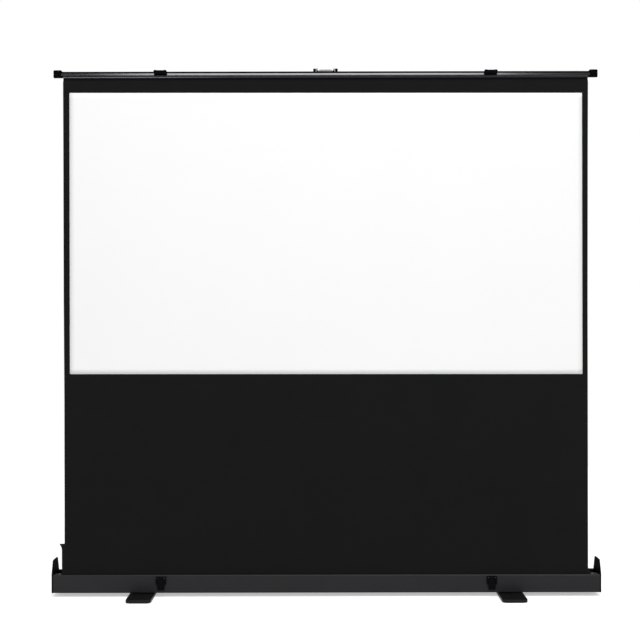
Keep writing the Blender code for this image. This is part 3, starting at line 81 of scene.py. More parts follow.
class Surface:
    """A Principled shader and the texture nodes that vary it over the surface."""

    def __init__(self, name, colour, roughness, metallic=0.0, **sockets):
        self.material = bpy.data.materials.new(name)
        self.material.use_nodes = True
        self.material.diffuse_color = (*colour, 1)
        tree = self.material.node_tree
        self.nodes, self.links = tree.nodes, tree.links
        self.shader = self.nodes["Principled BSDF"]
        self.colour = colour
        self.roughness = roughness
        self.set("Base Color", (*colour, 1))
        self.set("Roughness", roughness)
        self.set("Metallic", metallic)
        for socket, value in sockets.items():
            self.set(socket.replace("_", " "), value)
        self.place = self.nodes.new("ShaderNodeTexCoord").outputs["Object"]
        self.tinted = self.rough = self.normal = None

    def set(self, socket, value):
        self.shader.inputs[socket].default_value = value

    def node(self, kind, links=None, values=None, **settings):
        made = self.nodes.new(kind)
        for key, value in settings.items():
            setattr(made, key, value)
        for key, value in (values or {}).items():
            made.inputs[key].default_value = value
        for key, source in (links or {}).items():
            self.links.new(source, made.inputs[key])
        return made

    def stretched(self, factors):
        """The place on the surface with each axis multiplied by its factor."""
        made = self.node("ShaderNodeMapping", {"Vector": self.place}, {"Scale": factors})
        return made.outputs["Vector"]

    def noise(self, scale, detail=3.0, rough=0.55, stretch=None):
        place = self.stretched(stretch) if stretch else self.place
        values = {"Scale": scale, "Detail": detail, "Roughness": rough}
        return self.node("ShaderNodeTexNoise", {"Vector": place}, values).outputs["Fac"]

    def cells(self, scale, feature="F1", output="Distance"):
        made = self.node(
            "ShaderNodeTexVoronoi", {"Vector": self.place}, {"Scale": scale}, feature=feature
        )
        return made.outputs[output]

    def threads(self, axis, pitch):
        """Threads side by side along one axis, this far apart."""
        scale = 2 * math.pi / (WAVE_PHASE * pitch)
        values = {"Scale": scale, "Distortion": 0.15, "Detail": 1.0}
        made = self.node(
            "ShaderNodeTexWave", {"Vector": self.place}, values, bands_direction=axis
        )
        return made.outputs["Fac"]

    def math(self, operation, first, second):
        made = self.node("ShaderNodeMath", operation=operation)
        for index, value in enumerate((first, second)):
            if isinstance(value, (int, float)):
                made.inputs[index].default_value = value
            else:
                self.links.new(value, made.inputs[index])
        return made.outputs[0]

    def spread(self, source, low, high, to_low, to_high):
        """The source's values from low to high, mapped onto another range and held there."""
        values = {"From Min": low, "From Max": high, "To Min": to_low, "To Max": to_high}
        made = self.node("ShaderNodeMapRange", {"Value": source}, values)
        return made.outputs["Result"]

    def tint(self, source, dark, light, low=NOISE_LOW, high=NOISE_HIGH):
        """Colours the surface from dark times to light times its colour, by the source."""
        share = self.spread(source, low, high, 0, 1)
        self.mix_to([dark * c for c in self.colour], [light * c for c in self.colour], share)

    def mix_to(self, first, second, share):
        made = self.node("ShaderNodeMix", {"Factor": share}, data_type="RGBA")
        made.inputs[COLOUR_A].default_value = (*first, 1)
        made.inputs[COLOUR_B].default_value = (*second, 1)
        self.tinted = made.outputs[MIXED_COLOUR]
        self.links.new(self.tinted, self.shader.inputs["Base Color"])

    def roughen(self, source, less, more):
        """Varies the roughness from this much less to this much more, by the source."""
        low, high = self.roughness - less, self.roughness + more
        self.rough = self.spread(source, NOISE_LOW, NOISE_HIGH, low, high)
        self.links.new(self.rough, self.shader.inputs["Roughness"])

    def bump(self, source, height, strength=1.0):
        """Raises the surface by the source times this height in metres."""
        links = {"Height": source}
        if self.normal:
            links["Normal"] = self.normal
        values = {"Distance": height, "Strength": strength}
        self.normal = self.node("ShaderNodeBump", links, values).outputs["Normal"]
        self.links.new(self.normal, self.shader.inputs["Normal"])

    def wear(self, bare, bare_roughness, radius, amount):
        """Shows the bare stuff where the finish has rubbed off along the edges."""
        bevel = self.node("ShaderNodeBevel", values={"Radius": radius}, samples=4)
        flat = self.node("ShaderNodeNewGeometry").outputs["Normal"]
        dot = self.node("ShaderNodeVectorMath", operation="DOT_PRODUCT")
        self.links.new(bevel.outputs["Normal"], dot.inputs[0])
        self.links.new(flat, dot.inputs[1])
        edge = self.spread(dot.outputs["Value"], 0.99, 0.9, 0, 1)
        patches = self.spread(self.noise(140, 5, 0.7), 0.62 - amount, 0.70, 0, 1)
        share = self.math("MULTIPLY", edge, patches)
        links = {"Factor": share, COLOUR_A: self.tinted}
        mixed = self.node("ShaderNodeMix", links, data_type="RGBA")
        mixed.inputs[COLOUR_B].default_value = (*bare, 1)
        self.links.new(mixed.outputs[MIXED_COLOUR], self.shader.inputs["Base Color"])
        links = {"Factor": share, VALUE_A: self.rough}
        worn = self.node("ShaderNodeMix", links, {VALUE_B: bare_roughness})
        self.links.new(worn.outputs[MIXED_VALUE], self.shader.inputs["Roughness"])


def powder_coat(name, colour, roughness, specular):
    """A baked coat with the fine orange peel that it sets with."""
    surface = Surface(name, colour, roughness, Specular_IOR_Level=specular)
    surface.tint(surface.noise(9, 5, 0.6), dark=0.93, light=1.08)
    surface.roughen(surface.noise(60, 4), less=0.05, more=0.06)
    surface.bump(surface.noise(700, 2), height=0.00006, strength=0.6)
    surface.bump(surface.noise(2600, 2), height=0.000015, strength=0.5)
    return surface.material


def brushed_metal(name, colour, roughness, metallic=1.0, specular=0.5, edge=1.0):
    """Drawn metal with fine lines along X; edge dims what it mirrors at a low angle."""
    surface = Surface(name, colour, roughness, metallic, Specular_IOR_Level=specular)
    surface.set("Specular Tint", (edge, edge, edge, 1))
    lines = surface.noise(26, 4, 0.65, stretch=(0.6, 90, 90))
    surface.tint(surface.noise(5, 5, 0.6), dark=0.94, light=1.06)
    surface.roughen(lines, less=0.05, more=0.07)
    surface.bump(lines, height=0.00003, strength=0.35)
    return surface.material


def plated_steel(name, colour, roughness):
    """Zinc plating with its faint crystals and scratches."""
    surface = Surface(name, colour, roughness, 1.0)
    crystals = surface.cells(420, output="Color")
    surface.tint(crystals, dark=0.9, light=1.06, low=0.2, high=0.9)
    surface.roughen(surface.noise(90, 5, 0.7), less=0.07, more=0.12)
    surface.bump(surface.noise(1500, 3), height=0.00002, strength=0.4)
    return surface.material


def moulded_plastic(name, colour, roughness, specular):
    """Plastic with the fine grain of a spark-eroded mould."""
    surface = Surface(name, colour, roughness, Specular_IOR_Level=specular)
    surface.tint(surface.noise(24, 4), dark=0.88, light=1.12)
    surface.roughen(surface.noise(45, 4), less=0.06, more=0.06)
    surface.bump(surface.cells(900), height=0.00006, strength=0.5)
    surface.bump(surface.noise(160, 3), height=0.00003, strength=0.3)
    return surface.material


def painted_steel(name, colour, roughness, specular):
    """Black paint on steel, rubbed through here and there along the edges."""
    surface = Surface(name, colour, roughness, Specular_IOR_Level=specular)
    surface.tint(surface.noise(18, 5, 0.6), dark=0.88, light=1.14)
    surface.roughen(surface.noise(70, 4), less=0.06, more=0.08)
    surface.wear((0.10, 0.10, 0.105), bare_roughness=0.35, radius=0.0007, amount=0.06)
    surface.bump(surface.noise(800, 2), height=0.00005, strength=0.5)
    return surface.material


def spring_metal(name, colour, roughness):
    """Bare spring steel, browned by old oil in patches."""
    surface = Surface(name, colour, roughness, 1.0)
    dimmed = [0.8 * c for c in colour]
    oiled = (0.22, 0.19, 0.16)
    surface.mix_to(dimmed, oiled, surface.spread(surface.noise(60, 4), 0.4, 0.75, 0, 1))
    surface.roughen(surface.noise(300, 4), less=0.06, more=0.12)
    surface.bump(surface.noise(1200, 2), height=0.00002, strength=0.4)
    return surface.material


def screen_fabric(name, colour, roughness, specular):
    """Woven cloth with a thin coat over it: its threads still show through."""
    sockets = {"Specular_IOR_Level": specular, "Sheen_Weight": 0.02, "Sheen_Roughness": 0.6}
    surface = Surface(name, colour, roughness, **sockets)
    surface.tint(surface.noise(3.2, 6, 0.6), dark=0.94, light=1.06)
    surface.roughen(surface.noise(28, 4), less=0.04, more=0.04)
    warp, weft = (surface.threads(axis, pitch=0.00055) for axis in "XZ")
    surface.bump(surface.math("MULTIPLY", warp, weft), height=0.00005, strength=0.5)
    surface.bump(surface.noise(1300, 2), height=0.00003, strength=0.35)
    return surface.material


def white_coat(name, colour, roughness):
    """The matt viewing coat, a touch lighter and darker from place to place."""
    surface = Surface(name, colour, roughness, Specular_IOR_Level=0.2)
    surface.tint(surface.noise(2.4, 6, 0.55), dark=0.992, light=1.004)
    surface.roughen(surface.noise(40, 3), less=0.05, more=0)
    surface.bump(surface.noise(1700, 2), height=0.00002, strength=0.4)
    return surface.material


def rubber_skin(name, colour, roughness, specular):
    """Rubber with a soft dusty grain."""
    surface = Surface(name, colour, roughness, Specular_IOR_Level=specular)
    surface.tint(surface.noise(50, 5, 0.65), dark=0.86, light=1.2)
    surface.roughen(surface.noise(120, 4), less=0.08, more=0.06)
    surface.bump(surface.noise(900, 3), height=0.00006, strength=0.6)
    return surface.material


LOOKS = {
    "shell": powder_coat("charcoal_powder_coat", (0.0148, 0.0148, 0.0160), 0.36, 0.09),
    "bar_aluminium": brushed_metal(
        "dark_anodised_bar", (0.0235, 0.0235, 0.0255), 0.16, edge=0.12
    ),
    "dark_cover": brushed_metal(
        "black_anodised_cover", (0.012, 0.012, 0.013), 0.45, metallic=0.5, specular=0.3
    ),
    "foot_aluminium": powder_coat("black_powder_coat", (0.0045, 0.0045, 0.0048), 0.42, 0.12),
    "plain_aluminium": brushed_metal("plain_extruded_aluminium", (0.42, 0.42, 0.43), 0.42),
    "black_plastic": moulded_plastic(
        "grained_black_plastic", (0.0025, 0.0025, 0.0029), 0.45, 0.0012
    ),
    "black_steel": painted_steel("black_painted_steel", (0.0014, 0.0014, 0.0018), 0.36, 0.03),
    "plain_steel": plated_steel("zinc_plated_steel", (0.24, 0.24, 0.25), 0.36),
    "spring_steel": spring_metal("oiled_spring_steel", (0.2, 0.2, 0.215), 0.32),
    "black_cloth": screen_fabric("black_screen_cloth", (0.0052, 0.0052, 0.0054), 0.9, 0.04),
    "white_coating": white_coat("matt_white_viewing_coat", (0.665, 0.665, 0.665), 0.95),
    "rubber": rubber_skin("black_rubber", (0.008, 0.008, 0.008), 0.8, 0.3),
    "grey_rubber": rubber_skin("grey_soft_grip", (0.2, 0.2, 0.205), 0.6, 0.4),
    "slip_plastic": moulded_plastic("natural_slip_plastic", (0.62, 0.6, 0.54), 0.5, 0.4),
}

# The folding frame's black paint, lighter and glossier than the latches'
FRAME_PAINT = painted_steel("satin_black_frame_paint", (0.006, 0.006, 0.0065), 0.38, 0.5)


# Shapes


def slot_of(node):
    return next(s["material_slot"] for s in frame["record"]["subparts"] if s["node"] == node)


def body_of(node):
    bodies = frame["record"]["behaviour"]["bodies"]
    return next(body for body, nodes in bodies.items() if node in nodes)


def add_piece(name, shape, body, slot, stands_for=()):
    """Links a finished bmesh as a piece that rides on a body and has a slot's finish."""
    mesh = bpy.data.meshes.new(name)
    bmesh.ops.recalc_face_normals(shape, faces=shape.faces)
    shape.to_mesh(mesh)
    shape.free()
    if "custom_normal" in mesh.attributes:
        mesh.attributes.remove(mesh.attributes["custom_normal"])
    mesh.materials.append(LOOKS[slot])
    mesh.shade_smooth()
    mesh.set_sharp_from_angle(angle=SHARP_ANGLE)
    piece = bpy.data.objects.new(name, mesh)
    bpy.context.scene.collection.objects.link(piece)
    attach(piece, body)
    if stands_for:
        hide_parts(*stands_for)
    return piece


def in_place_of(node, shape):
    """A piece that stands for one CAD node, on its body and in its slot."""
    return add_piece(f"{node}_look", shape, body_of(node), slot_of(node), [node])


def round_edges(piece, width, segments=3):
    bevel = piece.modifiers.new("rounded_edges", "BEVEL")
    bevel.width = width
    bevel.segments = segments
    bevel.limit_method = "ANGLE"
    bevel.angle_limit = SHARP_ANGLE
    bevel.harden_normals = True
    return piece


def fillet(corners, steps=6):
    """The points of an outline whose corners are (x, y, rounding)."""
    points = []
    for index, (x, y, rounding) in enumerate(corners):
        corner = Vector((x, y))
        if not rounding:
            points.append(corner)
            continue
        back = (Vector(corners[index - 1][:2]) - corner).normalized()
        ahead = (Vector(corners[(index + 1) % len(corners)][:2]) - corner).normalized()
        half = back.angle(ahead) / 2
        centre = corner + (back + ahead).normalized() * rounding / math.sin(half)
        first = corner + back * rounding / math.tan(half) - centre
        last = corner + ahead * rounding / math.tan(half) - centre
        sweep = first.angle(last)
        for step in range(steps + 1):
            share = step / steps
            ray = first * math.sin((1 - share) * sweep) + last * math.sin(share * sweep)
            points.append(centre + ray / math.sin(sweep))
    return points


# Where the two coordinates of an outline and its length lie in space
AXES = {"X": (1, 2, 0), "Y": (0, 2, 1), "Z": (0, 1, 2)}


def at(axis, first, second, along):
    """A point from an outline's two coordinates and its place along the axis."""
    point = [0.0, 0.0, 0.0]
    for index, value in zip(AXES[axis], (first, second, along)):
        point[index] = value
    return point


def prism(outline, axis, low, high):
    """An outline given its length from low to high along the axis."""
    shape = bmesh.new()
    ends = [[shape.verts.new(at(axis, u, v, end)) for u, v in outline] for end in (low, high)]
    shape.faces.new(ends[0])
    shape.faces.new(ends[1][::-1])
    for i in range(len(outline)):
        j = (i + 1) % len(outline)
        shape.faces.new((ends[0][j], ends[0][i], ends[1][i], ends[1][j]))
    return shape


def inset(corners, amount):
    """The corners of a convex outline, drawn counterclockwise, moved in by this amount."""
    moved = []
    for index, (x, y) in enumerate(corners):
        corner = Vector((x, y))
        back = (corner - Vector(corners[index - 1])).normalized()
        ahead = (Vector(corners[(index + 1) % len(corners)]) - corner).normalized()
        inward = Vector((-back.y - ahead.y, back.x + ahead.x))
        scale = amount / (1 + back.dot(ahead))
        moved.append(corner + inward * scale)
    return moved


def loft(sections, axis):
    """Skins outlines of the same number of points; each section is (place, outline)."""
    shape = bmesh.new()
    rings = [[shape.verts.new(at(axis, u, v, place)) for u, v in line] for place, line in sections]
    for one, other in zip(rings, rings[1:]):
        for i in range(len(one)):
            j = (i + 1) % len(one)
            shape.faces.new((one[i], one[j], other[j], other[i]))
    shape.faces.new(rings[0][::-1])
    shape.faces.new(rings[-1])
    return shape


def lathe(profile, axis, centre, steps=48, shape=None):
    """A closed profile of (radius, place along the axis), spun about the axis."""
    shape = shape or bmesh.new()
    first, second, along = (centre[i] for i in AXES[axis])
    rings = []
    for radius, place in profile:
        if radius < WELD:
            rings.append([shape.verts.new(at(axis, first, second, along + place))])
            continue
        ring = []
        for step in range(steps):
            angle = 2 * math.pi * step / steps
            u, v = first + radius * math.cos(angle), second + radius * math.sin(angle)
            ring.append(shape.verts.new(at(axis, u, v, along + place)))
        rings.append(ring)
    closed = profile[0][0] >= WELD
    pairs = list(zip(rings, rings[1:]))
    if closed:
        pairs.append((rings[-1], rings[0]))
    for one, other in pairs:
        for step in range(steps):
            after = (step + 1) % steps
            corners = [one[step % len(one)], one[after % len(one)]]
            corners += [other[after % len(other)], other[step % len(other)]]
            unique = list(dict.fromkeys(corners))
            if len(unique) > 2:
                shape.faces.new(unique)
    return shape


def tube(points, radius, steps=20):
    """A round rod along these points, with slightly rounded ends."""
    shape = bmesh.new()
    points = [Vector(p) for p in points]
    tangents = []
    for i in range(len(points)):
        ahead, back = points[min(i + 1, len(points) - 1)], points[max(i - 1, 0)]
        tangents.append((ahead - back).normalized())
    side = tangents[0].orthogonal().normalized()
    rings = []
    for point, tangent in zip(points, tangents):
        side = (side - tangent * side.dot(tangent)).normalized()
        other = tangent.cross(side)
        rings.append((point, side.copy(), other))
    verts = []
    ease = radius * 0.3
    for i, (point, side, other) in enumerate(rings):
        if i == 0:
            verts.append(ring_of(shape, point, side, other, radius - ease, steps))
            point = point + tangents[0] * ease
        if i == len(rings) - 1:
            point = point - tangents[-1] * ease
        verts.append(ring_of(shape, point, side, other, radius, steps))
        if i == len(rings) - 1:
            end = point + tangents[-1] * ease
            verts.append(ring_of(shape, end, side, other, radius - ease, steps))
    for one, other in zip(verts, verts[1:]):
        for step in range(steps):
            after = (step + 1) % steps
            shape.faces.new((one[step], one[after], other[after], other[step]))
    shape.faces.new(verts[0][::-1])
    shape.faces.new(verts[-1])
    return shape


def ring_of(shape, point, side, other, radius, steps):
    """The vertices of a circle round a point, in the plane of the two directions."""
    angles = [2 * math.pi * step / steps for step in range(steps)]
    return [
        shape.verts.new(point + (side * math.cos(a) + other * math.sin(a)) * radius)
        for a in angles
    ]


def copy_of(node):
    """A CAD node's shape as clean faces, without the importer's splits and triangles."""
    shape = bmesh.new()
    shape.from_mesh(frame["nodes"][node].data)
    bmesh.ops.remove_doubles(shape, verts=shape.verts, dist=WELD)
    bmesh.ops.dissolve_limit(shape, angle_limit=FLAT_ANGLE, verts=shape.verts, edges=shape.edges)
    return shape


def carve(piece, cutters, operation="DIFFERENCE"):
    """Cuts shapes out of a piece, or joins them to it, and keeps the result as its mesh."""
    for shape in cutters:
        mesh = bpy.data.meshes.new("cutter")
        bmesh.ops.recalc_face_normals(shape, faces=shape.faces)
        shape.to_mesh(mesh)
        shape.free()
        tool = bpy.data.objects.new("cutter", mesh)
        bpy.context.scene.collection.objects.link(tool)
        cut = piece.modifiers.new("cut", "BOOLEAN")
        cut.operation = operation
        cut.solver = "EXACT"
        cut.object = tool
        graph = bpy.context.evaluated_depsgraph_get()
        result = bpy.data.meshes.new_from_object(piece.evaluated_get(graph))
        piece.modifiers.remove(cut)
        bpy.data.objects.remove(tool, do_unlink=True)
        piece.data = result
    piece.data.shade_smooth()
    piece.data.set_sharp_from_angle(angle=SHARP_ANGLE)
    return piece


def refined(node, width, segments=3):
    """A CAD node's own shape with its edges rounded over."""
    return round_edges(in_place_of(node, copy_of(node)), width, segments)


# Cloth

CLOTH_SEED = 7
RIPPLE = 0.2 * MM
CALM_ENDS = 0.12
FLAT_FOOT, FLAT_HEAD = 0.05, 0.02
MESH_STEP = 0.024
HEM = 3 * MM

# The coat stops short at its left and upper edge and is turned a little, as in the photo
COAT_TRIM = 1.4 * MM
COAT_SKEW = -math.tan(math.radians(0.08))

# How far the cloth reaches past its side edges, by height, as the photo shows it
LEFT_REACH = [
    (2.2449, 0.0015), (2.2380, 0.0015), (2.2200, 0.0033), (1.9290, 0.0026), (1.2810, 0.0020),
    (0.8490, 0.0), (0.2306, 0.0), (0.2303, 0.0220), (0.2260, 0.0195), (0.2160, 0.0140),
    (0.2038, 0.0118), (0.1110, 0.0118), (0.1000, 0.0170), (0.0898, 0.0220), (0.0700, 0.0),
]
RIGHT_REACH = [
    (2.2449, 0.0015), (2.2380, 0.0015), (2.2200, 0.0033), (1.9290, 0.0018), (1.2810, 0.0),
    (0.1240, 0.0), (0.1100, 0.0055), (0.0959, 0.0155), (0.0880, 0.0155), (0.0700, 0.0),
]


def reach_at(table, height):
    """How far past its edge the cloth reaches at this height."""
    if height >= table[0][0] or height <= table[-1][0]:
        return 0.0
    for (above, first), (below, second) in zip(table, table[1:]):
        if below <= height <= above:
            return first + (second - first) * (above - height) / (above - below)
    return 0.0


class ClothForm:
    """Where the stretched cloth stands out from its flat plane."""

    def __init__(self):
        self.low, self.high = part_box("screen_cloth")
        random.seed(CLOTH_SEED)
        self.waves = [
            (
                random.uniform(2.2, 7.5) * random.choice((-1, 1)),
                random.uniform(0.3, 2.6) * random.choice((-1, 1)),
                random.uniform(0, 2 * math.pi),
                random.uniform(0.4, 1.0),
            )
            for _ in range(7)
        ]
        self.weight = sum(wave[3] for wave in self.waves)

    def out(self, x, z):
        """The distance back from the plane, none at the clamp and at the slot."""
        above = min(1, max(0, (z - self.low.z - FLAT_FOOT) / CALM_ENDS))
        below = min(1, max(0, (self.high.z - z - FLAT_HEAD) / CALM_ENDS))
        calm = above * above * (3 - 2 * above) * below * below * (3 - 2 * below)
        ripple = sum(a * math.sin(u * x + v * z + p) for u, v, p, a in self.waves)
        return calm * RIPPLE * ripple / self.weight


def sheet_grid(xs_at, heights, plane, form):
    """Faces over rows of the same number of points, each row at its own height."""
    shape = bmesh.new()
    rows = []
    for z in heights:
        rows.append([shape.verts.new((x, plane + form.out(x, z), z)) for x in xs_at(z)])
    for one, other in zip(rows, rows[1:]):
        for i in range(len(one) - 1):
            shape.faces.new((one[i], one[i + 1], other[i + 1], other[i]))
    return shape


def spaced(low, high, step):
    """Even places from low to high, no further apart than the step."""
    count = max(1, math.ceil((high - low) / step))
    return [low + (high - low) * i / count for i in range(count + 1)]


def thicken(piece, thickness):
    """Gives a sheet its thickness, half of it on each side."""
    solid = piece.modifiers.new("thickness", "SOLIDIFY")
    solid.thickness = thickness
    solid.offset = 0
    return piece


def add_cloth():
    """The stretched cloth and its white coat."""
    form = ClothForm()
    low, high = form.low, form.high
    thickness = high.y - low.y
    columns = spaced(low.x, high.x, MESH_STEP)

    def xs_at(z):
        left = low.x - reach_at(LEFT_REACH, z)
        right = high.x + reach_at(RIGHT_REACH, z)
        return [left, low.x + HEM, *columns[1:-1], high.x - HEM, right]

    corners = [z for z, _ in LEFT_REACH + RIGHT_REACH]
    heights = sorted({*spaced(low.z, high.z, MESH_STEP), *corners})
    shape = sheet_grid(xs_at, heights, (low.y + high.y) / 2, form)
    cloth = in_place_of("screen_cloth", shape)
    thicken(cloth, thickness)

    view_low, view_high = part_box("viewing_surface")
    coat_columns = spaced(view_low.x + COAT_TRIM, view_high.x, MESH_STEP)
    rows = spaced(view_low.z, view_high.z - COAT_TRIM, MESH_STEP)
    plane = (view_low.y + view_high.y) / 2
    shape = sheet_grid(lambda z: coat_columns, rows, plane, form)
    for vert in shape.verts:
        vert.co.z += COAT_SKEW * vert.co.x
    coat = in_place_of("viewing_surface", shape)
    thicken(coat, view_high.y - view_low.y)

    slack = closed_share(low.z, high.z)
    for piece in (cloth, coat):
        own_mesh(piece)


def closed_share(bottom, top):
    """What is left of the cloth's height once the bar is down."""
    fold = next(j for j in frame["joints"] if j["name"] == "fold")
    knee = next(j for j in frame["joints"] if j["name"] == "left_knee")
    arm = Vector(knee["pos_m"]) - Vector(fold["pos_m"])
    arm.y = 0
    open_lean = math.atan2(-arm.x, arm.z)
    closed_lean = open_lean + math.radians(max(fold["range_deg"]))
    drop = 2 * arm.length * (math.cos(open_lean) - math.cos(closed_lean))
    return (top - drop - bottom) / (top - bottom)


def add_wound_cloth():
    """The last turns of cloth, wound in a spiral on the roller."""
    low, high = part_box("wound_cloth")
    tube_low, tube_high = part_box("roller_tube")
    centre = (low + high) / 2
    outer = (high.z - low.z) / 2
    inner = (tube_high.z - tube_low.z) / 2 + 0.1 * MM
    turns, steps_in_turn = 2.6, 40
    thickness = 0.18 * MM
    count = round(turns * steps_in_turn)
    columns = spaced(low.x, high.x, 0.08)
    shape = bmesh.new()
    rows = []
    for step in range(count + 1):
        share = step / count
        angle = math.pi - 2 * math.pi * turns * (1 - share)
        radius = inner + (outer - inner - thickness) * share + thickness / 2
        y, z = centre.y + radius * math.cos(angle), centre.z + radius * math.sin(angle)
        rows.append([shape.verts.new((x, y, z)) for x in columns])
    for one, other in zip(rows, rows[1:]):
        for i in range(len(one) - 1):
            shape.faces.new((one[i], one[i + 1], other[i + 1], other[i]))
    wound = in_place_of("wound_cloth", shape)
    thicken(wound, thickness)


# Housing and ends

LIP_HEIGHT = 5.2 * MM
LIP_REACH = 8 * MM
LIP_LEAN = math.tan(math.radians(24))


def add_housing():
    """The extruded channel, its front lip leaning back a little."""
    low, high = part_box("housing")
    shape = copy_of("housing")
    for vert in shape.verts:
        if vert.co.y < low.y + LIP_REACH and vert.co.z > high.z - LIP_HEIGHT:
            vert.co.y += LIP_LEAN * (vert.co.z - high.z + LIP_HEIGHT)
    round_edges(in_place_of("housing", shape), 0.35 * MM, segments=2)
    refined("roller_cover", 0.3 * MM, segments=2)
    for node in ("left_roller_bracket", "right_roller_bracket"):
        refined(node, 0.5 * MM)


def add_end_caps():
    """Moulded caps with a shallow panel in each outer face."""
    housing_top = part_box("housing")[1].z
    border, rounding, depth = 8 * MM, 5 * MM, 0.9 * MM
    above_housing, front_slope, rear_slope = 3 * MM, 24 * MM, 22 * MM
    for name, side in SIDES:
        node = f"{name}_end_cap"
        low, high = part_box(node)
        outer = high.x if side > 0 else low.x
        cap = in_place_of(node, copy_of(node))
        ear = [
            (low.y, housing_top + above_housing), (high.y, housing_top + above_housing),
            (high.y - rear_slope, high.z), (low.y + front_slope, high.z),
        ]
        panel = fillet([(*corner, rounding) for corner in inset(ear, border)])
        carve(cap, [prism(panel, "X", outer - depth, outer + depth)])
        round_edges(cap, 0.45 * MM, segments=2)
        for place in ("lower", "upper"):
            add_cap_screw(f"{name}_cap_screw_{place}", side)


def add_cap_screw(node, side):
    """A pan head screw with a cross recess."""
    low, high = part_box(node)
    centre = (low + high) / 2
    head = (high.z - low.z) / 2
    face = high.x if side > 0 else low.x
    tip = low.x if side > 0 else high.x
    shank = 1.75 * MM
    crown = 2.5 * MM
    dome, steps = 0.45 * crown, 6
    profile = [(0, face)]
    for step in range(1, steps + 1):
        angle = math.pi / 2 * step / steps
        profile.append((head * math.sin(angle), face - side * dome * (1 - math.cos(angle))))
    profile += [
        (head, face - side * crown), (shank, face - side * crown),
        (shank, tip + side * shank), (0, tip),
    ]
    centre.x = 0
    screw = in_place_of(node, lathe(profile, "X", centre, 28))
    arm, half, depth = 2.3 * MM, 0.42 * MM, 1.3 * MM
    cutters = []
    for wide, tall in ((arm, half), (half, arm)):
        outline = [
            (centre.y - wide, centre.z - tall), (centre.y + wide, centre.z - tall),
            (centre.y + wide, centre.z + tall), (centre.y - wide, centre.z + tall),
        ]
        cutters.append(prism(outline, "X", face - side * depth, face + side * depth))
    carve(screw, cutters)


# Feet


def add_feet():
    for name, _ in SIDES:
        refined(f"{name}_foot", 0.5 * MM)
        add_foot_bolt(f"{name}_foot_bolt")
        refined(f"{name}_foot_washer", 0.4 * MM, segments=2)
        for end in ("front", "rear"):
            add_foot_pad(f"{name}_foot_{end}_pad")


def add_foot_pad(node):
    """A rubber pad with three tapering grooves across its underside."""
    pad = in_place_of(node, copy_of(node))
    low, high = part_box(node)
    half, depth = 0.8 * MM, 0.9 * MM
    grooves = []
    for share in (-0.28, 0, 0.28):
        y = (low.y + high.y) / 2 + share * (high.y - low.y)
        outline = [
            (y - half, low.z - MM), (y + half, low.z - MM),
            (y + half / 2, low.z + depth), (y - half / 2, low.z + depth),
        ]
        grooves.append(prism(outline, "X", low.x - MM, high.x + MM))
    carve(pad, grooves)
    round_edges(pad, 0.3 * MM, segments=2)


def add_foot_bolt(node):
    """A swivel bolt with a hexagon socket, seen inside the housing."""
    low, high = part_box(node)
    centre = (low + high) / 2
    head, shank, flange = 8 * MM, 4 * MM, 7.7 * MM
    under_head, over_flange = high.z - 5 * MM, low.z + 2.7 * MM
    top, bottom = high.z, low.z
    ease, flange_ease = 0.7 * MM, 0.4 * MM
    profile = [
        (0, top), (head - ease, top), (head, top - ease), (head, under_head),
        (shank, under_head), (shank, over_flange), (flange, over_flange),
        (flange, bottom + flange_ease), (flange - flange_ease, bottom), (0, bottom),
    ]
    centre.z = 0
    bolt = in_place_of(node, lathe(profile, "Z", centre, 40))
    reach, depth = 3.4 * MM, 3 * MM
    socket = [
        (centre.x + reach * math.cos(a), centre.y + reach * math.sin(a))
        for a in (math.pi * i / 3 for i in range(6))
    ]
    carve(bolt, [prism(socket, "Z", top - depth, top + MM)])


# Top bar


def add_top_bar():
    low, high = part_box("top_bar")
    add_bar_shell(low, high)
    add_clamp(low.z)
    for name, side in SIDES:
        add_bar_cap(f"{name}_bar_cap", side, low, high)
        refined(f"{name}_strike", 0.6 * MM)
    refined("top_bracket", 0.5 * MM, segments=2)


BAR_FLOOR = 9.5 * MM
FLOOR_DEPTH = 16.5 * MM
FACE_SETBACK = 2 * MM
END_LIP = 4.5 * MM
END_CUT = 35 * MM


def add_bar_shell(low, high):
    """The bar's profile: a band leaning back, a soft crown and fine lines along its rear."""
    front, base, rear, top = low.y, low.z, high.y, high.z
    wall = 2.2 * MM
    face, crown, shoulder = front + FACE_SETBACK, front + 3.4 * MM, front + 13.5 * MM
    floor, face_top = base + BAR_FLOOR, base + 10.8 * MM
    band_base, band_top = base + 11.2 * MM, base + 20.8 * MM
    floor_rear = face + FLOOR_DEPTH
    sharp, small, tight, soft = 0.2 * MM, 0.3 * MM, 0.5 * MM, 2 * MM
    corners = [
        (face, floor, small), (face, face_top, sharp),
        (front, band_base, small), (crown, band_top, soft),
        (shoulder, top, 6 * MM), (rear, top, 4 * MM),
    ]
    line, half = 0.5 * MM, 0.7 * MM
    for height in (20, 17, 14):
        z = base + height * MM
        corners += [(rear, z + half, 0), (rear - line, z, 0), (rear, z - half, 0)]
    corners += [
        (rear, base, tight), (rear - wall, base, tight),
        (rear - wall, top - wall, soft), (shoulder, top - wall, 0),
        (crown + wall, band_top, 0), (crown + wall, floor + wall, 0),
        (floor_rear, floor + wall, 0), (floor_rear, floor, small),
    ]
    bar = in_place_of("top_bar", prism(fillet(corners, 8), "X", low.x, high.x))
    inside = rear - 5 * MM
    cut = [
        (inside, base - MM), (rear + MM, base - MM),
        (rear + MM, top - END_LIP), (inside, top - END_LIP),
    ]
    carve(bar, [
        prism(cut, "X", low.x - MM, low.x + END_CUT),
        prism(cut, "X", high.x - END_CUT, high.x + MM),
    ])


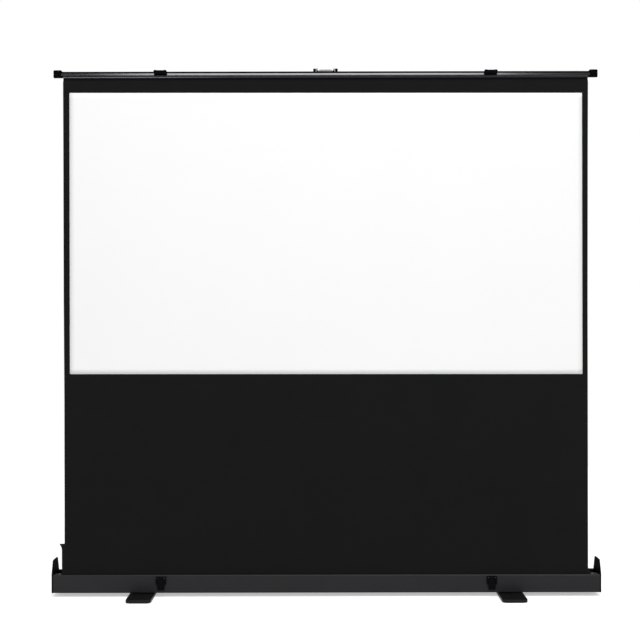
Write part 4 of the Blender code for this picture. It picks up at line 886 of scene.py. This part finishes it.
def add_clamp(base):
    """The strip that grips the cloth: its front leans down and its edges are rolled."""
    low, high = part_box("cloth_clamp")
    cloth_low, cloth_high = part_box("screen_cloth")
    slot_front = cloth_low.y - 0.9 * MM
    slot_rear = cloth_high.y + 0.3 * MM
    slot_top = base + 7 * MM
    lean = 0.6 * MM
    rolled, tight, small = 1.6 * MM, 0.4 * MM, 0.3 * MM
    outline = fillet(
        [
            (low.y + lean, base, rolled), (slot_front, base, small),
            (slot_front, slot_top, 0), (slot_rear, slot_top, 0),
            (slot_rear, base, small), (high.y, base, tight),
            (high.y, high.z, tight), (low.y, high.z, rolled),
        ]
    )
    in_place_of("cloth_clamp", prism(outline, "X", low.x, high.x))


# How far each section of a bar cap is from its mouth or its end, and how far in, in mm
CAP_MOUTH = ((0, 0.8), (0.3, 0.25), (1, 0), (4, 0), (4.5, 0.5), (5.3, 0.5), (5.8, 0))
CAP_END = ((6, 0), (4.6, 0.15), (3.4, 0.5), (2.4, 1.0), (1.4, 1.7), (0.6, 2.5), (0, 3.4))


def add_bar_cap(node, side, bar_low, bar_high):
    """A moulded cap with a pillowed end, a rim round its mouth and room for the bar's end."""
    low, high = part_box(node)
    outer, inner = (high.x, low.x) if side > 0 else (low.x, high.x)
    rise = 26 * MM
    corners = [
        (low.y, low.z), (high.y, low.z + rise), (high.y, high.z), (low.y, high.z),
    ]

    def section(place, amount):
        """The cap's outline at this place, moved in by this amount."""
        rounding = max(0.5 * MM, 4.5 * MM - amount)
        line = [(*corner, rounding) for corner in inset(corners, amount)]
        return place, fillet(line, 8)

    sections = [section(inner + side * run * MM, amount * MM) for run, amount in CAP_MOUTH]
    sections += [section(outer - side * run * MM, amount * MM) for run, amount in CAP_END]
    cap = in_place_of(node, loft(sections, "X"))
    gap = 0.3 * MM
    front, rear = bar_low.y - gap, bar_high.y + gap
    floor, top = bar_low.z + BAR_FLOOR - gap, bar_high.z + gap
    floor_rear = bar_low.y + FACE_SETBACK + FLOOR_DEPTH + gap
    socket = [
        (front, floor), (floor_rear, floor),
        (rear, bar_high.z - END_LIP - gap), (rear, top), (front, top),
    ]
    bar_end = bar_high.x if side > 0 else bar_low.x
    ends = sorted((inner - side * MM, bar_end + side * gap))
    carve(cap, [prism(socket, "X", *ends)])


# Latches and handle


def add_latch_rivets(node):
    """Four domed rivets in the corners of a latch base's cheeks."""
    low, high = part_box(node)
    radius, height, sunk = 1.8 * MM, 0.9 * MM, 0.2 * MM
    from_side, from_end = 2.6 * MM, 5.6 * MM
    shape = bmesh.new()
    for x in (low.x + from_side, high.x - from_side):
        for z in (low.z + from_end, high.z - from_end):
            profile = [
                (0, -height), (0.55 * radius, -0.85 * height), (0.9 * radius, -0.4 * height),
                (radius, 0), (radius, sunk), (0, sunk),
            ]
            lathe(profile, "Y", (x, low.y, z), 24, shape)
    add_piece(f"{node}_look_rivets", shape, body_of(node), slot_of(node))


def add_latches():
    for name, _ in SIDES:
        refined(f"{name}_latch_base", 0.5 * MM)
        add_latch_rivets(f"{name}_latch_base")
        refined(f"{name}_latch_hasp", 0.4 * MM)
        refined(f"{name}_latch_pin", 0.35 * MM)


def joint_place(name):
    return Vector(next(j for j in frame["joints"] if j["name"] == name)["pos_m"])


def add_handle():
    """A bent rod between two mounts, with a collar on each leg and a grip between them."""
    for name, _ in SIDES:
        refined(f"{name}_handle_mount", 0.7 * MM)
    hinge = joint_place("handle_hinge")
    low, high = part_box("handle_rod")
    grip_low, grip_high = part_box("handle_grip")
    reach = (grip_low.y + grip_high.y) / 2
    rod, leg, bend = 3 * MM, 36.5 * MM, 9 * MM
    tight_bend = 1.05 * rod
    corners = [
        (low.x, hinge.y, 0), (-leg, hinge.y, tight_bend), (-leg, reach, bend),
        (leg, reach, bend), (leg, hinge.y, tight_bend), (high.x, hinge.y, 0),
    ]
    line = [(x, y, hinge.z) for x, y in fillet(corners, 10)]
    handle = in_place_of("handle_rod", tube(line, rod))
    collar, half, ease = 7 * MM, 3.5 * MM, MM
    little = 0.3 * ease
    profile = [
        (0, -half), (collar - ease, -half), (collar - little, little - half),
        (collar, ease - half), (collar, half - ease), (collar - little, half - little),
        (collar - ease, half), (0, half),
    ]
    for side in (-1, 1):
        carve(handle, [lathe(profile, "X", (side * leg, hinge.y, hinge.z), 40)], "UNION")
    add_grip(grip_low, grip_high, rod + 0.3 * MM)


def add_grip(low, high, bore):
    """A soft grip with ribs for the fingers."""
    centre = (low + high) / 2
    radius = (high.z - low.z) / 2
    longer = 1.2 * MM
    half = (high.x - low.x) / 2 + longer
    pitch, groove, count = 3.2 * MM, 0.7 * MM, 12
    rib = (0.3 * MM, pitch - 1.1 * MM)
    valley = (pitch - 0.7 * MM, pitch - 0.1 * MM)
    face, edge, step = radius - 1.4 * MM, radius - 0.4 * MM, 0.5 * MM
    profile = [(bore, -half), (face, -half), (edge, -half + step)]
    for i in range(count):
        place = pitch * i - pitch * count / 2
        profile += [(radius, place + along) for along in rib]
        profile += [(radius - groove, place + along) for along in valley]
    profile += [(radius, half - 1.6 * MM), (edge, half - step), (face, half), (bore, half)]
    in_place_of("handle_grip", lathe(profile, "X", (centre.x, centre.y, centre.z), 40))


# Folding arms


def add_arm(node, foot, head):
    """A channel arm with a long stiffening recess pressed into its rear web."""
    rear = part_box(node)[1].y
    along = (head - foot).normalized()
    half_width, rounding, depth, from_pivot = 4.5 * MM, 4.4 * MM, 0.7 * MM, 62 * MM
    across = Vector((-along.y, along.x)) * half_width
    first, last = foot + along * from_pivot, head - along * from_pivot
    corners = [first - across, last - across, last + across, first + across]
    outline = fillet([(*corner, rounding) for corner in corners])
    arm = in_place_of(node, copy_of(node))
    carve(arm, [prism(outline, "Y", rear - depth, rear + MM)])
    arm.data.materials[0] = FRAME_PAINT
    round_edges(arm, 0.4 * MM, segments=2)


def add_arms():
    """The folding frame: its arms, knee spring cases, pins and the bracket at its base."""
    base, knee, head = (joint_place(name) for name in ("fold", "left_knee", "left_top_pivot"))
    for name, side in SIDES:
        pivots = [Vector((-side * place.x, place.z)) for place in (base, knee, head)]
        add_arm(f"{name}_lower_arm", pivots[0], pivots[1])
        add_arm(f"{name}_upper_arm", pivots[1], pivots[2])
        case = refined(f"{name}_knee_spring_case", 0.4 * MM, segments=2)
        case.data.materials[0] = FRAME_PAINT
        for pin in ("knee", "base", "top"):
            refined(f"{name}_{pin}_pin", 0.4 * MM)
    refined("base_bracket", 0.5 * MM, segments=2)


def paint_cad_nodes():
    """Gives every CAD node that still shows the finish of its slot."""
    for subpart in frame["record"]["subparts"]:
        node = frame["nodes"][subpart["node"]]
        for slot in node.material_slots:
            slot.material = LOOKS[subpart["material_slot"]]


# Studio


FLOOR_RADIUS = 4.6
FLOOR_ALBEDO = 0.9
FLOOR_GLOW = 0.42
FILL_LEVEL = 0.5

# Name, place, target, size and radiance of each softbox
SOFTBOXES = (
    ("overhead_softbox", (-0.11, -4.9, 8.6), (-0.11, 0, 2.1), (4.36, 1.8), 23.0),
    ("left_softbox", (-2.2, -7.5, 2.0), (-0.6, 0, 2.2), (1.6, 1.2), 12.0),
    ("right_softbox", (2.9, -6.5, 5.0), (1.1, 0, 0.1), (1.8, 1.5), 20.0),
)


def add_floor():
    """A pale floor that is white to the camera wherever no shadow falls."""
    shape = bmesh.new()
    bmesh.ops.create_circle(shape, cap_ends=True, segments=96, radius=FLOOR_RADIUS)
    mesh = bpy.data.meshes.new("studio_floor")
    shape.to_mesh(mesh)
    shape.free()
    floor = bpy.data.objects.new("studio_floor", mesh)
    bpy.context.scene.collection.objects.link(floor)
    material = bpy.data.materials.new("pale_floor")
    material.use_nodes = True
    nodes, links = material.node_tree.nodes, material.node_tree.links
    shader = nodes["Principled BSDF"]
    shader.inputs["Base Color"].default_value = (FLOOR_ALBEDO, FLOOR_ALBEDO, FLOOR_ALBEDO, 1)
    shader.inputs["Roughness"].default_value = 0.9
    shader.inputs["Specular IOR Level"].default_value = 0
    shader.inputs["Emission Color"].default_value = (1, 1, 1, 1)
    links.new(seen_rays(nodes, links, FLOOR_GLOW), shader.inputs["Emission Strength"])
    mesh.materials.append(material)


def seen_rays(nodes, links, strength):
    """This strength for camera, glossy and transmission rays, and none for the others."""
    path = nodes.new("ShaderNodeLightPath")
    total = path.outputs["Is Camera Ray"]
    for name in ("Is Glossy Ray", "Is Transmission Ray"):
        add = nodes.new("ShaderNodeMath")
        add.operation = "MAXIMUM"
        links.new(total, add.inputs[0])
        links.new(path.outputs[name], add.inputs[1])
        total = add.outputs[0]
    times = nodes.new("ShaderNodeMath")
    times.operation = "MULTIPLY"
    times.inputs[1].default_value = strength
    links.new(total, times.inputs[0])
    return times.outputs[0]


def add_world():
    """An even fill, and plain white wherever the world itself is seen or mirrored."""
    world = bpy.data.worlds.new("studio")
    bpy.context.scene.world = world
    world.use_nodes = True
    nodes, links = world.node_tree.nodes, world.node_tree.links
    background = nodes["Background"]
    background.inputs["Color"].default_value = (1, 1, 1, 1)
    extra = seen_rays(nodes, links, 1 - FILL_LEVEL)
    total = nodes.new("ShaderNodeMath")
    total.operation = "ADD"
    total.inputs[1].default_value = FILL_LEVEL
    links.new(extra, total.inputs[0])
    links.new(total.outputs[0], background.inputs["Strength"])


def add_softbox(name, place, target, size, radiance):
    """A rectangular lamp of this even brightness, turned towards its target."""
    light = bpy.data.lights.new(name, "AREA")
    light.shape = "RECTANGLE"
    light.size, light.size_y = size
    light.energy = radiance * math.pi * size[0] * size[1]
    lamp = bpy.data.objects.new(name, light)
    bpy.context.scene.collection.objects.link(lamp)
    lamp.location = place
    aim = Vector(target) - Vector(place)
    lamp.rotation_euler = aim.to_track_quat("-Z", "Y").to_euler()
    lamp.visible_camera = False


CAMERA_DISTANCE = 4.7
PIXELS_PER_METRE = 232.1
CAMERA_X = -0.0256
CAMERA_Z = 1.1946
CAMERA_ROLL = math.radians(0.1)


def add_camera():
    """Straight in front, rolled a little, as far off as the feet's length in the photo gives."""
    data = bpy.data.cameras.new("camera")
    data.sensor_width = SENSOR_MM
    data.lens = SENSOR_MM * PIXELS_PER_METRE * CAMERA_DISTANCE / IMAGE_PIXELS
    data.clip_end = 200
    camera = bpy.data.objects.new("camera", data)
    bpy.context.scene.collection.objects.link(camera)
    housing_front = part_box("housing")[0].y
    camera.location = (CAMERA_X, housing_front - CAMERA_DISTANCE, CAMERA_Z)
    camera.rotation_euler = (math.pi / 2, CAMERA_ROLL, 0)
    bpy.context.scene.camera = camera


def main():
    bpy.context.scene.view_settings.view_transform = "Standard"
    add_camera()
    add_cloth()
    add_wound_cloth()
    add_housing()
    add_end_caps()
    add_feet()
    add_top_bar()
    add_latches()
    add_handle()
    add_arms()
    paint_cad_nodes()
    add_floor()
    add_world()
    for softbox in SOFTBOXES:
        add_softbox(*softbox)


main()
